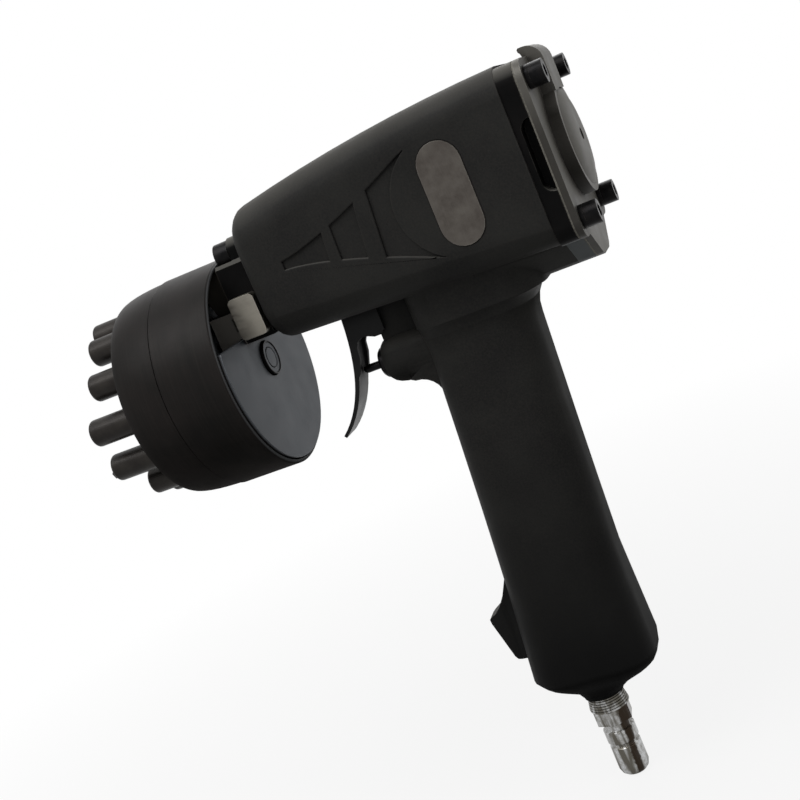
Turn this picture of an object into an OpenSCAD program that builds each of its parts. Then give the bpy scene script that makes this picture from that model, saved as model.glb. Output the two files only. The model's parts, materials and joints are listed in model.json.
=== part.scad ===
// Pistol-grip pneumatic marking machine with a rotary drum of sliding number punches.
// Millimetres. The origin is the centre of the working punch's tip, +X runs back along
// the hammer axis, +Z is up and the grip hangs down along -Z.

/* [Marking drum] */
// Outer diameter of the drum
drum_d = 86; // [83:0.5:92]
// Length of the drum from its front face to its rear rim
drum_len = 45.4; // [44:0.2:52]
// Length of the rounded shoulder behind the front face
shoulder_len = 19; // [12:0.5:22]
// How far the shoulder draws in towards the front face, on the radius
shoulder_drop = 2.8; // [1.5:0.1:3.2]
// Height of the step between the rear band and the shoulder
band_step = 0.4; // [0.2:0.1:0.8]
// Edge radius round the front face
face_edge = 1.6; // [0.5:0.1:2]
// Length of the rear band
band_len = 26; // [20:0.5:26]
// Chamfer on the rear rim
rim_chamfer = 0.8; // [0.4:0.1:1.2]
// Thickness of the rear rim's wall
rim_wall = 1.5; // [1.2:0.1:2.5]
// Free depth of the cup behind the punch keeper
cup_free = 12.5; // [12:0.5:14]
// Diameter of the hub inside the cup
hub_d = 26; // [24:0.5:28]
// Diameter of the recess for the axle head in the front face
recess_d = 26; // [25:0.5:32]
// Depth of the recess for the axle head
recess_depth = 4; // [3.5:0.25:6]

/* [Punches] */
// Pitch circle diameter of the punches
punch_pcd = 64; // [63:0.5:66]
// Diameter of a punch
punch_d = 10.8; // [9:0.2:11]
// How far the working punch stands out of the drum face
punch_out = 18.8; // [15:0.2:20]
// Edge radius of a punch tip
punch_edge = 1.4; // [0.5:0.1:2]
// Sliding travel of a punch
punch_travel = 7; // [6.8:0.1:8]
// Diameter of the collar that stops a punch
collar_d = 12.6; // [12:0.1:13]
// Thickness of the collar
collar_t = 3; // [2:0.25:4]
// Diameter of the tail that the striker hits
tail_d = 8; // [7:0.25:8.5]
// How far the tail stands out of the keeper with the punch fully back
tail_out = 1; // [0.5:0.1:1.4]

/* [Drum axle and detent] */
// Diameter of the drum axle
axle_d = 11; // [9:0.5:12]
// Diameter of the axle's front head
axle_head_d = 22; // [18:0.5:24]
// Thickness of the axle's front head
axle_head_t = 3; // [2:0.25:3.2]
// Diameter of the axle's threaded rear end
axle_thread_d = 8; // [6:0.5:8.5]
// Outer diameter of the round axle nut
axle_nut_d = 13.6; // [12:0.2:16]
// Outer diameter of the drum bush
bush_d = 15; // [14.5:0.25:17]
// Diameter of the detent ball
ball_d = 6; // [5:0.25:6.5]
// Radius of the ring of detent dimples
detent_r = 17.2; // [17:0.1:18]
// Thickness of the rear disc
disc_t = 3; // [2.5:0.25:3.5]
// How far the disc stands behind the rim
disc_proud = 1.2; // [0.8:0.1:1.6]
// Height of the disc's cut edge above the drum axis
disc_cut = 11.6; // [10:0.2:13]

/* [Bracket] */
// Gap between the drum's rim and the nose of the housing
nose_gap = 14; // [13:0.5:18]
// Half width of the bracket block
bracket_half = 15; // [14:0.5:17]
// Top of the bracket block above the hammer axis
bracket_top = 9.9; // [9:0.1:10.5]
// Bottom of the bracket block below the hammer axis
bracket_bottom = 22.5; // [22:0.5:24]
// Chamfer along the bracket block's upper edges
bracket_chamfer = 2.4; // [1:0.2:3]
// Thickness of the flange that lies on the nose
flange_t = 5; // [4:0.25:6]
// Outer diameter of the striker guide boss
guide_d = 25; // [22:0.5:26]
// Sideways spacing of the bracket screws
bracket_screw_w = 18; // [16:0.5:20]
// Height of the upper bracket screws above the hammer axis
bracket_screw_z = 11.7; // [11:0.1:12.5]
// Length of the steel index block along X
index_len = 11; // [9:0.5:12]
// Height of the index block
index_h = 16.4; // [14:0.2:18]
// Thickness of the index block
index_t = 5; // [4:0.25:6]
// Corner radius of the index block
index_r = 2; // [1:0.2:3]

/* [Housing] */
// Length of the barrel housing
body_len = 116.5; // [112:0.5:130]
// Half width of the barrel at the nose
nose_half = 22.5; // [21:0.5:26]
// Half width of the barrel at the rear
tail_half = 35; // [34.5:0.5:38]
// Top of the barrel at the nose, above the hammer axis
nose_top = 24.9; // [24:0.1:26]
// Top of the barrel at the rear
tail_top = 35.4; // [34.5:0.1:37]
// How strongly the top line bows between the nose and the rear
top_bow = 2; // [1:0.1:3]
// Underside of the barrel at the nose, below the hammer axis
nose_under = 26.5; // [26:0.1:28]
// Underside of the barrel at the rear
tail_under = 29.2; // [28.5:0.1:30.5]
// Corner radius of the barrel section at the nose
nose_corner = 14; // [10:0.5:16]
// Corner radius of the barrel section at the rear
tail_corner = 10; // [8:0.5:12]
// Rounding of the nose's front edge
nose_round = 7; // [4:0.5:9]
// Depth of the three relief panels in each flank
relief_depth = 1; // [0.6:0.1:1.5]
// Bottom of the keel behind the grip, below the hammer axis
keel_depth = 39.5; // [38:0.5:41]
// Half width of the keel at its bottom
keel_bottom = 9; // [7:0.5:11]
// Half width of the keel at its top
keel_top = 22.5; // [20:0.5:25]
// Height of the bare label plate
label_len = 38; // [30:0.5:40]
// Width of the bare label plate along the barrel
label_w = 17; // [14:0.5:18]
// Thickness of the bare label plate
label_t = 0.8; // [0.5:0.1:1]

/* [Grip] */
// Distance from the nose to the grip's front face at its top
grip_set = 51.2; // [50:0.2:54]
// Depth of the grip, front to back, at its top
grip_depth = 43.2; // [42:0.2:48]
// Half width of the grip at its waist
grip_half = 17.5; // [16:0.25:19]
// Half width of the grip at the heel
heel_half = 20.5; // [19:0.25:22]
// Distance from the hammer axis to the heel's widest level
heel_z = 187.5; // [184:0.5:190]
// Height of the rounded heel below that level
heel_h = 8.5; // [7:0.5:11]
// Thickness of the finger stop
stop_t = 13; // [10:0.5:16]
// Diameter of the valve boss on the grip front
valve_boss_d = 19.6; // [18:0.2:20.4]
// Distance from the hammer axis down to the valve axis
valve_drop = 49.8; // [49:0.1:51]

/* [Rear end] */
// Height of the rear screws' centre above the hammer axis
rear_z = 2.5; // [1.5:0.1:3]
// Sideways spacing of the rear screws
screw_w = 54.8; // [52:0.2:56]
// Upright spacing of the rear screws
screw_h = 50; // [48:0.2:52]
// Corner boss radius around a rear screw
boss_r = 7; // [6.5:0.25:7.5]
// Thickness of the rear block
block_t = 6.5; // [6:0.25:9]
// Thickness of the gasket
gasket_t = 0.6; // [0.4:0.1:1]
// Thickness of the rear cover plate
cover_t = 2.4; // [2:0.1:4]
// Diameter of the raised ring on the cover
ring_d = 41; // [38:0.5:42]
// Height of the raised ring
ring_h = 4.5; // [3:0.25:5]
// Rise of the domed end cap above the ring
dome_h = 2; // [1.5:0.1:3.5]
// Diameter of the bleed hole in the end cap
bleed_d = 4.4; // [3:0.2:6]
// Width of the hanging lip on top of the cover
lip_w = 21; // [16:0.5:24]
// Height of the exhaust slot
exhaust_h = 26; // [20:0.5:30]
// Depth of the exhaust slot in the flank
exhaust_deep = 7; // [4:0.5:9]

/* [Hammer and striker] */
// Outer diameter of the cylinder liner
liner_d = 33; // [32:0.5:34]
// Wall of the cylinder liner
liner_wall = 3.5; // [2.5:0.25:4]
// Length of the hammer
hammer_len = 46; // [40:0.5:48]
// Stroke of the hammer
hammer_stroke = 30; // [24:1:34]
// Diameter of the striker's shank
striker_d = 12; // [11:0.25:13]
// Diameter of the striker's tip
striker_tip_d = 7; // [6:0.25:7.5]
// Diameter of the striker's rear head
striker_head_d = 18.6; // [17:0.2:19]
// Stroke of the striker
striker_stroke = 3; // [2:0.25:3.5]
// Thickness of the nose wall in front of the liner
nose_wall = 16; // [15:0.5:20]

/* [Trigger and valve] */
// Width of the trigger
trigger_w = 13; // [12:0.25:14]
// Sheet thickness of the trigger
trigger_t = 2; // [1.6:0.1:2.2]
// Diameter of the trigger pin
pin_d = 4; // [3:0.25:5]
// Diameter of the valve stem
stem_d = 3.2; // [2.5:0.1:3.6]
// Outer diameter of the valve bush
valve_bush_d = 12; // [11:0.25:13]
// Full travel of the valve stem
stem_travel = 4; // [3.9:0.1:4.5]

/* [Air nipple] */
// Width across the flats of the hexagon
hex_af = 14; // [12:0.5:17]
// Diameter of the threaded end
thread_d = 13.2; // [12:0.1:13.2]
// Diameter of the coupling nose
plug_d = 13; // [11.5:0.1:13.5]
// Diameter of the air bore
nipple_bore = 7; // [5:0.25:8]

/* [Clearances] */
// Radial clearance of a sliding or turning fit
run_gap = 0.05; // [0.03:0.01:0.08]
// Radial gap between pieces fixed to each other
seat_gap = 0.02; // [0.01:0.01:0.05]
// Gap left in front of a stop
stop_gap = 0.3; // [0.25:0.05:0.4]
// Free gap between moving pieces
free_gap = 0.5; // [0.4:0.05:0.7]

/* [Hidden] */
$fn = 64;

// How far each punch has slid forward from its rear stop, punch 1 being the one at work
punch_rest = [4.9, 0.3, 0.1, 5.6, 5.9, 0.3, 1.2, 2.4, 4, 2, 5, 1.6];
punch_count = len(punch_rest);
pitch_angle = 360 / punch_count;

// Stations along X
x_face = punch_out;
x_rim = x_face + drum_len;
x_keeper = x_rim - cup_free;
keeper_lip = 2.5;
x_pocket = x_keeper - keeper_lip;
x_floor = x_pocket - punch_travel - collar_t - 2 * stop_gap;
x_disc = x_rim + disc_proud;
x_nose = x_rim + nose_gap;
x_flange = x_nose - flange_t;
x_liner = x_nose + nose_wall;
x_body = x_nose + body_len;
x_block = x_body + block_t;
x_gasket = x_block + gasket_t;
x_cover = x_gasket + cover_t;
x_ring = x_cover + ring_h;

// Drum
drum_z = -punch_pcd / 2;
drum_r = drum_d / 2;
cup_r = drum_r - rim_wall;
shoulder_r = drum_r - band_step;
face_r = shoulder_r - shoulder_drop;
shoulder_steps = 8;

// Inside of the cup
inside_r = cup_r - free_gap - 0.3;
arm_front = x_keeper + 1.6;
arm_half = 11;
arm_drop = 11.5;
guide_front = x_keeper + 5;
striker_rest = x_keeper + tail_out + striker_stroke + 2 * stop_gap;
disc_r = cup_r - free_gap;
disc_hole_d = axle_nut_d + 1;

// Screws: metric cap screws with socket heads
m5_d = 5;
m5_head_d = 8.5;
m5_head_h = 5;
m5_washer_t = 1.6;
m6_d = 6;
m6_head_d = 10;
m6_head_h = 6;
m3_d = 3;
m3_head_d = 5.5;
socket_share = 0.5;
socket_depth_share = 0.55;

// Barrel
label_x = 88;
label_z = 1.8;
relief_margin = 3.2;
flank_slope = (tail_half - nose_half) / body_len;
flank_angle = atan(flank_slope);
relief_tip = 17.7;
relief_z = 0.2;
relief_lean = 0.028;
relief_tip_half = 1.55;
relief_power = 1.39;
relief_rate = 0.0622;
relief_breaks = [[0, 19, 0, 18], [23.2, 34.9, 22.7, 32.4], [41.4, 60, 39.2, 60]];
relief_steps = 6;

// Grip
x_grip = x_nose + grip_set;
x_grip_back = x_grip + grip_depth;
grip_corner = 13.5;
grip_waist_z = -107.5;
grip_low_z = -147.5;
grip_top_z = -53.5;
root_r = 9;
heel_profile = [[1, 1, 1], [0.62, 0.48, 0.75], [0.3, 0.1, 0.42], [0, 0, 0]];
grip_rings = 20;
heel_inset = 12;
heel_front_share = 0.42;
heel_back_share = 0.42;
heel_back_swell = 0.2;
heel_side_share = 0.62;
inlet_x = x_nose + 61.4;
inlet_boss_z = -heel_z - heel_h;
inlet_end_z = inlet_boss_z - 7.8;
inlet_r = thread_d / 2 + 1.6;
valve_z = -valve_drop;
x_valve_boss = x_nose + 32;
valve_bush_front = x_valve_boss - 2;
x_web = x_nose + 35.2;
web_half = trigger_w / 2 - trigger_t - free_gap;

// Trigger: pivot, and the three control points of its curved blade
pivot_x = x_nose + 34;
pivot_z = -23.9;
blade_top = [x_nose + 23.8, pivot_z + 1];
blade_belly = [x_nose + 22.4, -57.6];
blade_tip = [x_nose + 5.6, -70.5];
blade_steps = 14;
cheek_edge = [[x_nose + 22.4, -49.5], [x_nose + 24.4, -44], [x_nose + 25, -40], [x_nose + 26.2, -37.8],
    [x_nose + 28.6, -36.8], [x_nose + 31, -37.2], [x_nose + 33.4, -38.2], [x_nose + 36, -38.2],
    [x_nose + 38, -36.6]];
slot_half = trigger_w / 2 + free_gap;
slot_front = x_nose + 19;
slot_rear = x_nose + 42;
slot_top = -liner_d / 2 - 2.4;
slot_low = valve_z + valve_boss_d / 2 + 1;
pin_len = trigger_w + 16;
stem_reach = x_nose + 21.7;

// Hammer train
liner_bore = liner_d - 2 * liner_wall;
buffer_t = 5;
striker_shoulder = x_liner + buffer_t + striker_stroke + stop_gap;
striker_head_t = 6;
striker_rear = striker_shoulder + striker_head_t;
hammer_front = striker_rear + hammer_stroke + 1;
hammer_nose_d = 17;
hammer_nose_len = 12;
hammer_rear = hammer_front + hammer_len;
bush_wall = 3;
striker_bush_d = striker_d + 2 * bush_wall;

// Rear end
rear_screw_grip = 12;
exhaust_edge = 2.4;
cap_seat_d = ring_d - 5;
label_sink = 0.4;

// Bracket
bracket_screw_low = 14.5;
bracket_screw_low_w = 12.4;
bracket_screw_grip = 10;
detent_rear = arm_front + 7.5;
index_x = x_nose - index_len / 2 - 0.2;
index_z = -4.3 - index_h / 2;
index_screw_len = 3;

// Drum fittings
ring_x = x_floor - 4;
ring_wire = 1.5;
keeper_screw_r = 22.4;
keeper_screw_len = 8;
keeper_screw_sink = 3.2;
ball_x = x_keeper + ball_d / 2 - 1;

// Hammer ring
hammer_ring_x = hammer_rear - 8;
hammer_ring_w = 1.5;

// Valve
valve_rear = x_valve_boss + 26;
stem_head_d = valve_bush_d - 4;
stem_head_t = 3;
valve_chamber = valve_bush_front + 10;
valve_plug_front = valve_rear - 3;
seal_wire = 1.6;
stem_head_x = valve_chamber + seal_wire + stop_gap;

// Nipple
thread_len = 12;
hex_h = 6;
neck_len = 3;
plug_len = 20.5;
plug_bevel = 3;

// Shared helpers

// A solid turned about an axis along X, from [radius, x] points
module turned(points) {
    rotate([0, 90, 0])
        rotate_extrude($fn = 72)
            polygon(points);
}

// A plain round bar along X, from x0 to x1
module bar(x0, x1, d) {
    translate([x0, 0, 0])
        rotate([0, 90, 0])
            cylinder(d = d, h = x1 - x0);
}

// A slab across the gun: a (y, z) outline drawn out from x0 to x1
module slab(x0, x1) {
    translate([x0, 0, 0])
        rotate([90, 0, 90])
            linear_extrude(x1 - x0)
                children();
}

// A plate along the gun: an (x, z) outline drawn out from y0 to y1
module plate(y0, y1) {
    translate([0, y1, 0])
        rotate([90, 0, 0])
            linear_extrude(y1 - y0)
                children();
}

// Places children at each corner of a rectangle round the rear end's centre
module corners(w, h) {
    for (sy = [-1, 1], sz = [-1, 1])
        translate([0, sy * w / 2, rear_z + sz * h / 2])
            children();
}

// Places children at each of the four bracket screws, the lower pair standing closer together
module at_bracket_screws() {
    for (s = [-1, 1]) {
        translate([0, s * bracket_screw_w / 2, bracket_screw_z])
            children();
        translate([0, s * bracket_screw_low_w / 2, -bracket_screw_low])
            children();
    }
}

// Places children at the station of punch k
module at_punch(k) {
    a = k * pitch_angle;
    translate([0, -sin(a) * punch_pcd / 2, drum_z + cos(a) * punch_pcd / 2])
        children();
}

// A quarter circle of points round (cx, cy), from the given start angle
function corner(cx, cy, r, start, n = 6) =
    [for (i = [0:n]) [cx + r * cos(start + 90 * i / n), cy + r * sin(start + 90 * i / n)]];

// A rounded rectangle, counter-clockwise, with its own radius at the top and the bottom
function rounded(a0, a1, b0, b1, r_low, r_high, n = 6) = concat(
    corner(a1 - r_high, b1 - r_high, r_high, 0, n),
    corner(a0 + r_high, b1 - r_high, r_high, 90, n),
    corner(a0 + r_low, b0 + r_low, r_low, 180, n),
    corner(a1 - r_low, b0 + r_low, r_low, 270, n)
);

function mix(a, b, u) = a + (b - a) * u;

// Point on a quadratic curve with three control points, and its unit normal towards +X
function curve(p, t) = (1 - t) * (1 - t) * p[0] + 2 * t * (1 - t) * p[1] + t * t * p[2];
function curve_normal(p, t) =
    let (d = (1 - t) * (p[1] - p[0]) + t * (p[2] - p[1]))
    [-d[1], d[0]] / norm(d);

// A closed skin over a stack of rings that all have the same number of points
module loft(rings) {
    n = len(rings[0]);
    m = len(rings);
    points = [for (ring = rings) each ring];
    sides = [for (i = [0:m - 2], j = [0:n - 1])
        let (k = (j + 1) % n)
        each [[i * n + j, (i + 1) * n + j, (i + 1) * n + k], [i * n + j, (i + 1) * n + k, i * n + k]]];
    first = [[for (j = [0:n - 1]) j]];
    last = [[for (j = [0:n - 1]) m * n - 1 - j]];
    polyhedron(points, concat(first, sides, last));
}

// A socket-head cap screw along X: seat at x = 0, head to +X, shank to -X
module cap_screw(d, head_d, head_h, shank) {
    difference() {
        union() {
            bar(0, head_h, head_d);
            bar(-shank, 0.1, d);
        }
        translate([head_h * (1 - socket_depth_share), 0, 0])
            rotate([0, 90, 0])
                cylinder(d = head_d * socket_share / cos(30), h = head_h, $fn = 6);
    }
}

// A coil spring along X as one unbroken tube, with its ends run straight for one wire diameter
module coil_spring(x0, x1, mean_r, wire_d, curls) {
    steps = 8;
    sides = 6;
    rise = (x1 - x0 - wire_d) / curls;
    echo(str("spring gap ", rise - wire_d));
    lean = atan(rise / (2 * PI * mean_r));
    rings = [for (i = [0:curls * steps])
        let (a = i * 360 / steps, x = x0 + wire_d / 2 + rise * i / steps)
        [for (j = [0:sides - 1])
            let (b = -j * 360 / sides, out = wire_d / 2 * cos(b), up = wire_d / 2 * sin(b))
            [x + up * cos(lean),
                (mean_r + out) * cos(a) + up * sin(lean) * sin(a),
                (mean_r + out) * sin(a) - up * sin(lean) * cos(a)]]];
    loft(rings);
}

// Frame pieces

// One ring of the barrel's skin: u runs from the nose (0) to the rear (1)
function barrel_ring(u, x, inset) =
    let (
        half = mix(nose_half, tail_half, u) - inset,
        high = tail_top - (tail_top - nose_top) * pow(1 - u, top_bow) - inset,
        low = mix(nose_under, tail_under, u) - inset,
        r = max(mix(nose_corner, tail_corner, u) - inset, 1)
    )
    [for (p = rounded(-half, half, -low, high, r, r)) [x, p[0], p[1]]];

module barrel(inset = 0) {
    steps = 5;
    nose = [for (i = [0:steps])
        let (
            a = 90 * i / steps,
            along = nose_round * (1 - cos(a)),
            drawn = nose_round * (1 - sin(a))
        )
        barrel_ring(along / body_len, x_nose + along, drawn + inset)];
    body = [for (i = [1:8]) let (u = mix(nose_round / body_len, 1, i / 8))
        barrel_ring(u, x_nose + u * body_len, inset)];
    loft(concat(nose, body));
}

// Front and back edge and half width of the grip at height z
function grip_front(z) =
    z > grip_low_z ? mix(x_grip, x_grip - 8.2, (grip_top_z - z) / (grip_top_z - grip_low_z))
        : mix(x_grip - 8.2, x_grip - 12, (grip_low_z - z) / (grip_low_z + heel_z));
function grip_back(z) =
    z > grip_low_z ? mix(x_grip_back, x_grip_back - 5.5, (grip_top_z - z) / (grip_top_z - grip_low_z))
        : x_grip_back - 5.5 + heel_back_swell * (grip_low_z - z) / (grip_low_z + heel_z);
function grip_side(z) =
    z > grip_waist_z
        ? mix(grip_half + 1, grip_half, sin(90 * min(1, (grip_top_z - z) / (grip_top_z - grip_waist_z))))
        : mix(grip_half, heel_half, 1 - cos(90 * (grip_waist_z - z) / (grip_waist_z + heel_z)));

function grip_ring(z, front, back, side) =
    let (r = min(grip_corner, side - 0.5, (back - front) / 2 - 0.5))
    [for (p = rounded(front, back, -side, side, r, r)) [p[0], p[1], z]];

module grip() {
    flare = [
        grip_ring(inlet_end_z + 0.8, inlet_x - inlet_r, inlet_x + inlet_r, inlet_r),
        grip_ring(mix(inlet_end_z, inlet_boss_z, 0.55), inlet_x - inlet_r - 2.2,
            inlet_x + inlet_r + 5.6, inlet_r + 1.2)];
    heel = [for (h = heel_profile)
        grip_ring(-heel_z - heel_h * h[2],
            grip_front(-heel_z) + heel_inset * heel_front_share * h[0],
            grip_back(-heel_z) - heel_inset * heel_back_share * h[1],
            grip_side(-heel_z) - heel_inset * heel_side_share * h[0])];
    shaft = [for (i = [1:grip_rings])
        let (z = mix(-heel_z, grip_top_z, i / grip_rings))
        grip_ring(z, grip_front(z), grip_back(z), grip_side(z))];
    root = [for (i = [1:5])
        let (a = 90 * i / 5, flare = root_r * (1 - cos(a)), z = grip_top_z + (root_r + 4) * sin(a))
        grip_ring(z, x_grip, x_grip_back + flare, grip_side(grip_top_z) + 0.4 * flare)];
    top = [grip_ring(-nose_under + 4, x_grip, x_grip_back + root_r, grip_side(grip_top_z) + 0.4 * root_r)];
    loft(concat(flare, heel, shaft, root, top));
}

// The finger stop at the front of the heel, drawn as a side outline
module finger_stop() {
    back = grip_front(-heel_z) + 8;
    tip = [x_grip - 21, -160.6];
    slim = stop_t / 2 - 3;
    hollow = [[-8, -145], [-11.4, -151.5], [-14.2, -155.4], [-17.2, -158.3], [-19.8, -159.7]];
    intersection() {
        plate(-stop_t / 2, stop_t / 2)
            polygon(concat(
                [[back, -143]],
                [for (h = hollow) [x_grip + h[0], h[1]]],
                [tip, [tip[0] + 0.1, tip[1] - 1.8], [tip[0] + 4.4, -177.6],
                    [tip[0] + 5.4, -178.8], [back, -179.8]]
            ));
        translate([0, 0, -185])
            linear_extrude(50)
                polygon([[tip[0] - 1, -slim], [tip[0] + 7, -stop_t / 2], [back + 1, -stop_t / 2],
                    [back + 1, stop_t / 2], [tip[0] + 7, stop_t / 2], [tip[0] - 1, slim]]);
    }
}

// The boss that carries the valve, with the hollow that runs down into the grip front
module valve_boss() {
    web_r = 9;
    web_z = valve_z - valve_boss_d / 2 - web_r + 0.4;
    nose_drop = 4;
    nose_r = valve_boss_d / 2 - nose_drop;
    translate([0, 0, valve_z])
        rotate([0, 90, 0])
            rotate_extrude()
                polygon(concat(
                    [[0, x_valve_boss]],
                    [for (i = [0:5]) let (a = 90 * i / 5)
                        [nose_r + nose_drop * sin(a), x_valve_boss + 8 * (1 - cos(a))]],
                    [[valve_boss_d / 2, x_grip + 8], [0, x_grip + 8]]
                ));
    plate(-valve_boss_d / 2 + 1.5, valve_boss_d / 2 - 1.5)
        polygon(concat(
            [[x_grip + 6, valve_z], [x_grip - web_r - 2, valve_z - valve_boss_d / 2 + 1.5]],
            [for (i = [0:6]) let (a = 90 - 90 * i / 6)
                [x_grip - web_r + web_r * cos(a), web_z + web_r * sin(a)]],
            [[x_grip + 6, web_z]]
        ));
    translate([x_web, -web_half, valve_z])
        cube([x_grip + 6 - x_web, 2 * web_half, -valve_z - nose_under + 4]);
}

// The flared boss under the heel that takes the air nipple
module inlet_boss() {
    translate([inlet_x, 0, inlet_end_z])
        cylinder(r = inlet_r, h = inlet_boss_z + 4 - inlet_end_z);
}

// Outline of the rear end: corner bosses round the screws, and the keel below
function rear_outline(grow = 0) =
    let (hy = screw_w / 2, low = rear_z - screw_h / 2, high = rear_z + screw_h / 2, r = boss_r + grow)
    concat(
        [[keel_bottom - 2, -keel_depth], [keel_bottom + 1.6, -keel_depth + 1.3], [keel_top, low - r]],
        corner(hy, low, r, 270),
        corner(hy, high, r, 0),
        corner(-hy, high, r, 90),
        corner(-hy, low, r, 180),
        [[-keel_top, low - r], [-keel_bottom - 1.6, -keel_depth + 1.3], [-keel_bottom + 2, -keel_depth]]
    );

module keel() {
    slab(x_grip_back - 12, x_body)
        polygon([[-keel_bottom + 2, -keel_depth], [keel_bottom - 2, -keel_depth],
            [keel_bottom + 1.6, -keel_depth + 1.3], [keel_top, -tail_under - 0.3], [keel_top, -tail_under + 8],
            [-keel_top, -tail_under + 8], [-keel_top, -tail_under - 0.3],
            [-keel_bottom - 1.6, -keel_depth + 1.3]]);
}

// Edge of the relief at a distance behind its front tip: side is 1 above and -1 below
function relief_edge(d, side) =
    [x_nose + relief_tip + d, relief_z + relief_lean * d
        + side * (relief_tip_half + relief_rate * pow(d, relief_power))];

// The three relief panels of one flank, drawn as a side outline
module relief_outline() {
    difference() {
        for (b = relief_breaks)
            polygon(concat(
                [for (i = [0:relief_steps]) relief_edge(mix(b[0], b[1], i / relief_steps), 1)],
                [for (i = [relief_steps:-1:0]) relief_edge(mix(b[2], b[3], i / relief_steps), -1)]
            ));
        translate([x_nose + label_x, label_z])
            circle(r = label_len / 2 + relief_margin, $fn = 48);
    }
}

module relief(side) {
    difference() {
        plate(side > 0 ? nose_half - 8 : -tail_half - 2, side > 0 ? tail_half + 2 : -nose_half + 8)
            relief_outline();
        barrel(relief_depth);
    }
}

module housing_skin() {
    resize([0, 0, 0])
        difference() {
            union() {
                barrel();
                keel();
                grip();
                finger_stop();
                valve_boss();
                inlet_boss();
            }
            relief(1);
            relief(-1);
        }
}

module housing() {
    color("#1b1c1d")
        difference() {
            housing_skin();
            bar(x_nose - 1, x_liner + 1, striker_bush_d + 2 * seat_gap);
            bar(x_liner, x_body + 1, liner_d + 2 * seat_gap);
            translate([slot_front, -slot_half, slot_low])
                cube([x_web - slot_front, 2 * slot_half, slot_top - slot_low]);
            for (s = [-1, 1])
                translate([x_web - 1, s * (slot_half + web_half) / 2, (slot_top + slot_low) / 2])
                    cube([2 * (slot_rear - x_web), slot_half - web_half, slot_top - slot_low], center = true);
            translate([pivot_x, 0, pivot_z])
                rotate([90, 0, 0])
                    cylinder(d = pin_d + 2 * seat_gap, h = pin_len + 2 * seat_gap, center = true);
            translate([0, 0, valve_z])
                bar(x_valve_boss - 1, valve_rear, valve_bush_d + 2 * seat_gap);
            translate([inlet_x, 0, inlet_end_z - 1])
                cylinder(d = thread_d + 2 * seat_gap, h = thread_len + 1);
            translate([inlet_x, 0, inlet_end_z])
                cylinder(d = nipple_bore, h = valve_z - inlet_end_z);
            at_bracket_screws()
                bar(x_nose - 1, x_nose + bracket_screw_grip + 1, m6_d + 2 * seat_gap);
            corners(screw_w, screw_h)
                bar(x_body - rear_screw_grip - 1, x_body + 1, m5_d + 2 * seat_gap);
            label_seat(0);
        }
}

// The flat seat of the label plate on the left flank
module label_seat(shrink) {
    translate([x_nose, -nose_half, 0])
        rotate([0, 0, -flank_angle])
            translate([label_x / cos(flank_angle), shrink > 0 ? label_sink - seat_gap : label_sink, label_z])
                rotate([90, 0, 0])
                    linear_extrude(shrink > 0 ? label_t : 4)
                        rotate([0, 0, 90])
                            stadium(label_len - 2 * shrink, label_w - 2 * shrink);
}

module stadium(l, h) {
    polygon(concat(
        [for (i = [0:12]) let (a = -90 + 180 * i / 12) [l / 2 - h / 2 + h / 2 * cos(a), h / 2 * sin(a)]],
        [for (i = [0:12]) let (a = 90 + 180 * i / 12) [-l / 2 + h / 2 + h / 2 * cos(a), h / 2 * sin(a)]]
    ));
}

module label_plate() {
    color("#8d857a")
        label_seat(0.15);
}

module cylinder_liner() {
    color("#9a9c9e")
        turned([[liner_bore / 2, x_liner], [liner_d / 2, x_liner],
            [liner_d / 2, x_body], [liner_bore / 2, x_body]]);
}

module front_buffer() {
    color("#2a2a2a")
        turned([[striker_d / 2 + free_gap, x_liner], [liner_bore / 2 - seat_gap, x_liner],
            [liner_bore / 2 - seat_gap, x_liner + buffer_t], [striker_d / 2 + free_gap, x_liner + buffer_t]]);
}

module striker_bush() {
    color("#a9863f")
        turned([[striker_d / 2 + run_gap, x_nose], [striker_bush_d / 2, x_nose],
            [striker_bush_d / 2, x_liner], [striker_d / 2 + run_gap, x_liner]]);
}

module rear_block() {
    pocket_d = liner_bore - 4;
    flank_half = screw_w / 2 + boss_r;
    color("#141516")
        difference() {
            slab(x_body, x_block)
                polygon(rear_outline());
            bar(x_body - 1, x_body + block_t / 2, pocket_d);
            corners(screw_w, screw_h)
                bar(x_body - 1, x_block + 1, m5_d + 2 * seat_gap);
            for (s = [-1, 1])
                translate([x_body + exhaust_edge, s * (flank_half - exhaust_deep / 2 + 0.5), rear_z])
                    exhaust_cut();
        }
}

// The exhaust slot: a round-ended pocket in the flank, open to the rear
module exhaust_cut() {
    r = block_t - exhaust_edge;
    plate(-exhaust_deep / 2 - 0.5, exhaust_deep / 2 + 0.5)
        polygon(concat(
            corner(r, exhaust_h / 2 - r, r, 90, 6),
            corner(r, -exhaust_h / 2 + r, r, 180, 6),
            [[block_t + 1, -exhaust_h / 2], [block_t + 1, exhaust_h / 2]]
        ));
}

module rear_gasket() {
    color("#3b3a38")
        difference() {
            slab(x_block, x_gasket)
                polygon(rear_outline(-0.2));
            corners(screw_w, screw_h)
                bar(x_block - 1, x_gasket + 1, m5_d + 2 * seat_gap);
        }
}

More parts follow.
